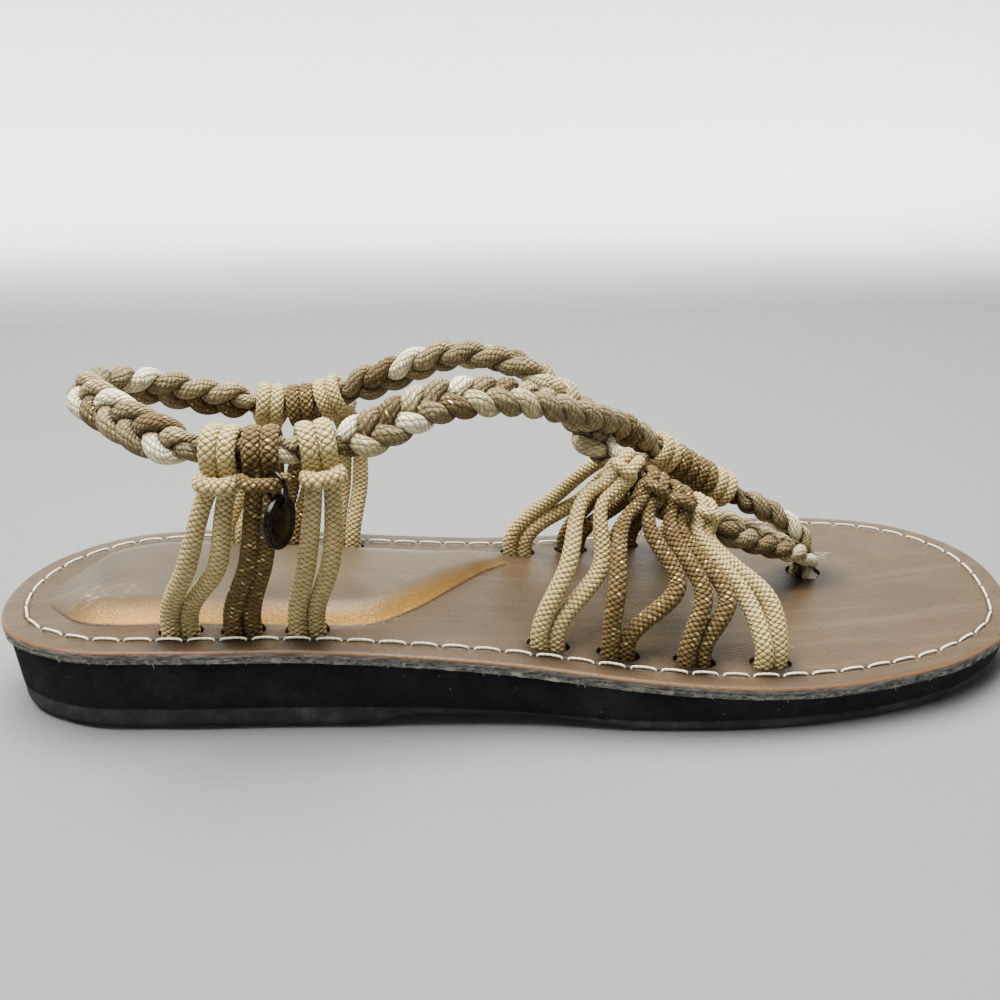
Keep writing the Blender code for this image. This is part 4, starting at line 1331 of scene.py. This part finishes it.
class Hitch:
    """Where a loop grips the strap: its centre, and the ways to the toe, out and down to the sole."""

    def __init__(self, loop):
        self.name, self.cord, zone, place, slot_x, *self.bows = loop
        _, self.half, self.core, _, self.bar_at, self.bar_radius = STRAP_ZONES[zone]
        self.bar_reaches = (self.half - BAR_INDENT, self.half - BAR_INDENT)
        if self.name == CHARM_LOOP:
            self.bar_at, self.bar_reaches, self.bar_radius = CHARM_BAR, CHARM_BAR_REACHES, CHARM_BAR_RADIUS
        centre = zone_centre(zone)
        heading = strap_frame(centre)[1][0]
        self.point, ahead, self.out, self.down = strap_frame(centre + math.copysign(place, place * heading))
        self.fore = math.copysign(1, heading) * ahead
        self.slot, self.edge = slot_place(zone, slot_x)
        self.away = np.array((0.0, -1.0 if zone.startswith("outer") else 1.0, 0.0))
        if self.down[2] > 0:
            self.down = -self.down

    def row(self, at, face, half_wide, half_thick):
        fore, out, down = at
        point = self.point + fore * self.fore + out * self.out + down * self.down
        way = face[0] * self.fore + face[1] * self.out + face[2] * self.down
        return [*point, *way, half_wide, half_thick]

    def half_route(self, side, bow):
        """From the slot to the bar, as rows of point, face and half sizes."""
        foot = self.slot + side * (FOOT_PITCH / 2 * self.edge - FOOT_STAGGER * self.away[:2])
        full = (CORD_HALF_WIDE, CORD_HALF_THICK)
        narrow = self.half / 2 - 0.05
        middle_of_turn = side * self.half / 2
        behind = self.row((middle_of_turn, *LEG_BEHIND), (0, 1, 0), narrow, CORD_HALF_THICK * 0.9)
        entry = np.array((*foot, bed_top(foot[0]) + FOOT_RISE))
        middle = (np.array(behind[:3]) + entry) / 2 + (bow[0], 0, 0) + bow[1] * self.away
        behind[0] += LEG_LEAN * (middle[0] - behind[0])
        rows = [
            [*foot, foam_top(foot[0]) + 2 * CLEARANCE, *self.away, *full],
            [*entry, *self.away, *full],
            [*middle, *self.away, *full],
            behind,
            self.row((middle_of_turn, *LEG_UNDER_BAR), (0, 1, 0), narrow, LEG_UNDER_BAR_HALF),
        ]
        radius = self.core + WRAP_GAP + WRAP_HALF_THICK
        for angle in np.radians(WRAP_ANGLES):
            out, down = math.cos(angle), math.sin(angle)
            at = (middle_of_turn, radius * out, radius * down)
            rows.append(self.row(at, (0, out, down), narrow, WRAP_HALF_THICK))
        bar_out, bar_down = self.bar_at
        radius = self.bar_radius
        rows.append(self.row((side * self.half * 0.8, *COME_BACK), (0, -0.3, 1), 1.3, 1.0))
        reach = self.bar_reaches[side > 0]
        corner = (side * reach, bar_out - BAR_CORNER[0], bar_down - BAR_CORNER[1])
        rows.append(self.row(corner, (0.8 * side, 0.6, 0.1), radius, 0.85 * radius))
        rows.append(self.row((side * reach * 0.45, bar_out, bar_down), (0, 1, 0), radius, radius))
        return rows

    def route(self):
        bar = self.row((0.0, *self.bar_at), (0, 1, 0), self.bar_radius, self.bar_radius)
        heel_side = self.half_route(-1, self.bows[0])
        toe_side = self.half_route(1, self.bows[1])
        curve = spline([*heel_side, bar, *reversed(toe_side)])
        run = along(curve)
        return read(curve, run, np.linspace(0, run[-1], round(run[-1] / CORD_STEP)))


def make_loop(loop):
    hitch = Hitch(loop)
    rows = hitch.route()
    bm = bmesh.new()
    relief = braid_relief(CORD_COLUMNS, CORD_GRAIN, CORD_RELIEF)
    sweep(bm, rows[:, :3], rows[:, 3:6], rows[:, 6], rows[:, 7], CORD_SIDES, relief)
    run = along(rows)[-1]
    uv_scale = (CORD_COLUMNS, run / CORD_GRAIN)
    print(hitch.name, "cord", round(run), "mm")
    name, slot = f"cord_{hitch.name}", f"{hitch.cord}_cord"
    return add_piece(name, bm, CORDS[hitch.cord], replaces=[hitch.name], uv_scale=uv_scale)


loops = [make_loop(loop) for loop in LOOPS]
print("loops", len(loops), "faces", sum(len(loop.data.polygons) for loop in loops))

# %% [markdown]
# ### Loose fibres
#
# Worn cord and cut board shed fibres. Short ones lie along the board's edge, a tuft sticks out where the
# strap goes down into the toe hole, and single hairs stand off the cords. Each is a thin bent tube.

# %% Loose fibres
FIBRE_HALF = 0.045
EDGE_FIBRES, TUFT_FIBRES, CORD_HAIRS = 900, 18, 40
EDGE_FIBRE_LENGTHS, TUFT_LENGTHS, HAIR_LENGTHS = (0.3, 0.75), (1.5, 3.5), (0.6, 1.6)
TUFT_PLACE, TUFT_WAY = np.array((211.5, 5.6, 18.5)), np.array((1.0, -0.5, -0.3))
FIBRE_SIDEWAYS = np.array((0.31, 0.17, 1.0))
chance = np.random.default_rng(11)


def fibre_material():
    material, g, shader = new_material("loose fibre", roughness=0.9, specular_ior_level=0.1)
    tone = g.noise(g.place(), 500.0, 1.0)
    connect(g, shader, base_color=g.mix(tone, (0.20, 0.17, 0.12), (0.66, 0.60, 0.47)))
    return material


def add_fibre(bm, start, way, length):
    t = np.linspace(0, 1, 6)[:, None]
    bend = chance.normal(0, 0.35, 3) - (0, 0, 0.2)
    path = start + length * (t * unit(way) + t**2 * bend)
    sweep(bm, path, FIBRE_SIDEWAYS, FIBRE_HALF, FIBRE_HALF, 4)


def make_fibres():
    bm = bmesh.new()
    line, _, _ = SoleEdge(BOARD_INSET).even(0.5)
    for index in chance.integers(1, len(line) - 1, EDGE_FIBRES):
        x, y = line[index]
        ahead = unit(line[index + 1] - line[index - 1])
        low, high = foam_top(x) + CLEARANCE, bed_top(x) - LEATHER
        start = np.array((x, y, chance.uniform(low, high)))
        way = chance.choice((-1, 1)) * np.array((*ahead, 0)) + 0.5 * np.array((ahead[1], -ahead[0], 0))
        add_fibre(bm, start, way + chance.normal(0, 0.3, 3), chance.uniform(*EDGE_FIBRE_LENGTHS))
    for _ in range(TUFT_FIBRES):
        start = TUFT_PLACE + chance.normal(0, 0.9, 3)
        add_fibre(bm, start, TUFT_WAY + chance.normal(0, 0.4, 3), chance.uniform(*TUFT_LENGTHS))
    for _ in range(CORD_HAIRS):
        cord = loops[chance.integers(len(loops))]
        vertex = cord.data.vertices[int(chance.integers(len(cord.data.vertices)))]
        start = np.array(vertex.co) / MM + (LENGTH / 2, 0, 0)
        way = np.array(vertex.normal) + chance.normal(0, 0.5, 3)
        add_fibre(bm, start, way, chance.uniform(*HAIR_LENGTHS))
    return add_piece("loose_fibres", bm, fibre_material())


fibres = make_fibres()
print("fibres", len(fibres.data.polygons), "faces")

# %% [markdown]
# ## Charm
#
# A dark metal ring hangs on the bar of the middle heel loop and carries a small domed disc with a raised rim.
# Both are turned shapes, so a profile is spun round an axis. The disc's face is left plain.

# %% Charm finish
def gunmetal_material():
    material, g, shader = new_material("dark gunmetal", metallic=1.0)
    place = g.place()
    cloud = g.noise(place, 700.0, 4.0)
    scratch = g.noise(g.stretched(place, (4000.0, 4000.0, 400.0)), 1.0, 3.0)
    base = g.mix(cloud, (0.014, 0.012, 0.011), (0.036, 0.032, 0.029))
    base = g.mix(g.step(scratch, 0.62, 0.75), base, (0.09, 0.08, 0.07))
    connect(g, shader, base_color=base, roughness=g.step(cloud, 0.3, 0.7, 0.20, 0.36))
    connect(g, shader, normal=g.bump(g.plus(cloud, scratch), 0.00005))
    return material


# %% Ring and disc
RING_RADIUS, WIRE_RADIUS, RING_TURN = 3.2, 0.5, 50.0
DISC_TURN = 25.0
WIRE_SIDES, RING_SIDES, DISC_SIDES = 14, 56, 72
BORE_SIDES, BORE_DEPTH = 28, 8
DISC_HOLE_RADIUS, DISC_HOLE_PLACE = 1.25, 4.1
DISC_PROFILE = (  # reach, height
    (0.0, -0.8),
    (5.1, -0.8),
    (5.6, -0.65),
    (5.8, -0.3),
    (5.8, 0.35),
    (5.65, 0.68),
    (5.3, 0.8),
    (4.9, 0.66),
    (4.6, 0.42),
    (3.9, 0.46),
    (2.6, 0.7),
    (1.2, 0.86),
    (0.0, 0.9),
)


def level_way(turn):
    """A level direction, turned from the toe towards the outer side."""
    return Vector((math.cos(math.radians(turn)), -math.sin(math.radians(turn)), 0.0))


def spun(profile, steps, close=False, scale=MM):
    """A profile of reach and height spun round the Z axis."""
    bm = bmesh.new()
    verts = [bm.verts.new((reach * scale, 0, height * scale)) for reach, height in profile]
    pairs = list(zip(verts, verts[1:])) + ([(verts[-1], verts[0])] if close else [])
    edges = [bm.edges.new(pair) for pair in pairs]
    bmesh.ops.spin(
        bm, geom=verts + edges, cent=(0, 0, 0), axis=(0, 0, 1), angle=2 * math.pi, steps=steps, use_merge=True
    )
    bmesh.ops.remove_doubles(bm, verts=bm.verts, dist=MERGE)
    return bm


def turn_to(normal):
    return normal.to_track_quat("Z", "Y").to_matrix()


def face_towards(bm, normal, centre):
    """Turns a shape made about Z to face a direction, and moves it to its centre."""
    bmesh.ops.rotate(bm, verts=bm.verts, matrix=turn_to(normal), cent=(0, 0, 0))
    bmesh.ops.translate(bm, verts=bm.verts, vec=centre)


def make_ring(material):
    low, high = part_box("charm_ring")
    wire = [
        (RING_RADIUS + WIRE_RADIUS * math.cos(turn), WIRE_RADIUS * math.sin(turn))
        for turn in np.linspace(0, 2 * math.pi, WIRE_SIDES, endpoint=False)
    ]
    bm = spun(wire, RING_SIDES, close=True)
    face_towards(bm, level_way(RING_TURN).cross(Vector((0, 0, 1))), (low + high) / 2)
    return add_piece("ring_wire", bm, material, body="charm_ring", replaces=["charm_ring"])


def make_disc(material):
    low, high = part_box("charm_disc")
    normal = level_way(DISC_TURN)
    hook = turn_to(normal).inverted() @ Vector((0, 0, DISC_HOLE_PLACE * MM))
    bore = bmesh.new()
    radii = dict.fromkeys(("radius1", "radius2"), DISC_HOLE_RADIUS * MM)
    bmesh.ops.create_cone(bore, cap_ends=True, segments=BORE_SIDES, depth=BORE_DEPTH * MM, **radii)
    bmesh.ops.translate(bore, verts=bore.verts, vec=hook)
    bm = cut_by(spun(DISC_PROFILE, DISC_SIDES), bore)
    face_towards(bm, normal, (low + high) / 2)
    obj = add_piece("metal_disc", bm, material, body="charm_disc", replaces=["charm_disc"])
    obj.data.set_sharp_from_angle(angle=math.radians(45))
    return obj


GUNMETAL = gunmetal_material()
ring = make_ring(GUNMETAL)
disc = make_disc(GUNMETAL)
print("charm", len(ring.data.polygons), len(disc.data.polygons), "faces")

# %% [markdown]
# ## Floor
#
# The floor is plain: grey round the shoe, and paler where it curves up into a wall.

# %% Floor
FLOOR_SIDES = 96
COVE_PROFILE = (  # reach, height, in metres
    (0.0, 0.0),
    (1.2, 0.0),
    (1.6, 0.05),
    (2.0, 0.18),
    (2.35, 0.42),
    (2.6, 0.85),
    (2.7, 1.4),
    (2.7, 2.2),
)


def make_floor():
    bm = spun(COVE_PROFILE, FLOOR_SIDES, scale=1.0)
    bmesh.ops.recalc_face_normals(bm, faces=bm.faces)
    obj = mesh_object("floor", bm)
    obj.data.shade_smooth()
    material, g, shader = new_material("pale floor", roughness=0.8)
    place = g.place()
    cloud = g.noise(place, 6.0, 3.0)
    floor = g.mix(cloud, (0.19, 0.195, 0.195), (0.21, 0.215, 0.215))
    rise = g.step(g.put("ShaderNodeVectorMath", {0: place}, operation="LENGTH").outputs["Value"], 0.3, 2.2)
    connect(g, shader, base_color=g.mix(rise, floor, (0.80, 0.83, 0.81)))
    obj.data.materials.append(material)
    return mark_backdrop(obj)


make_floor()
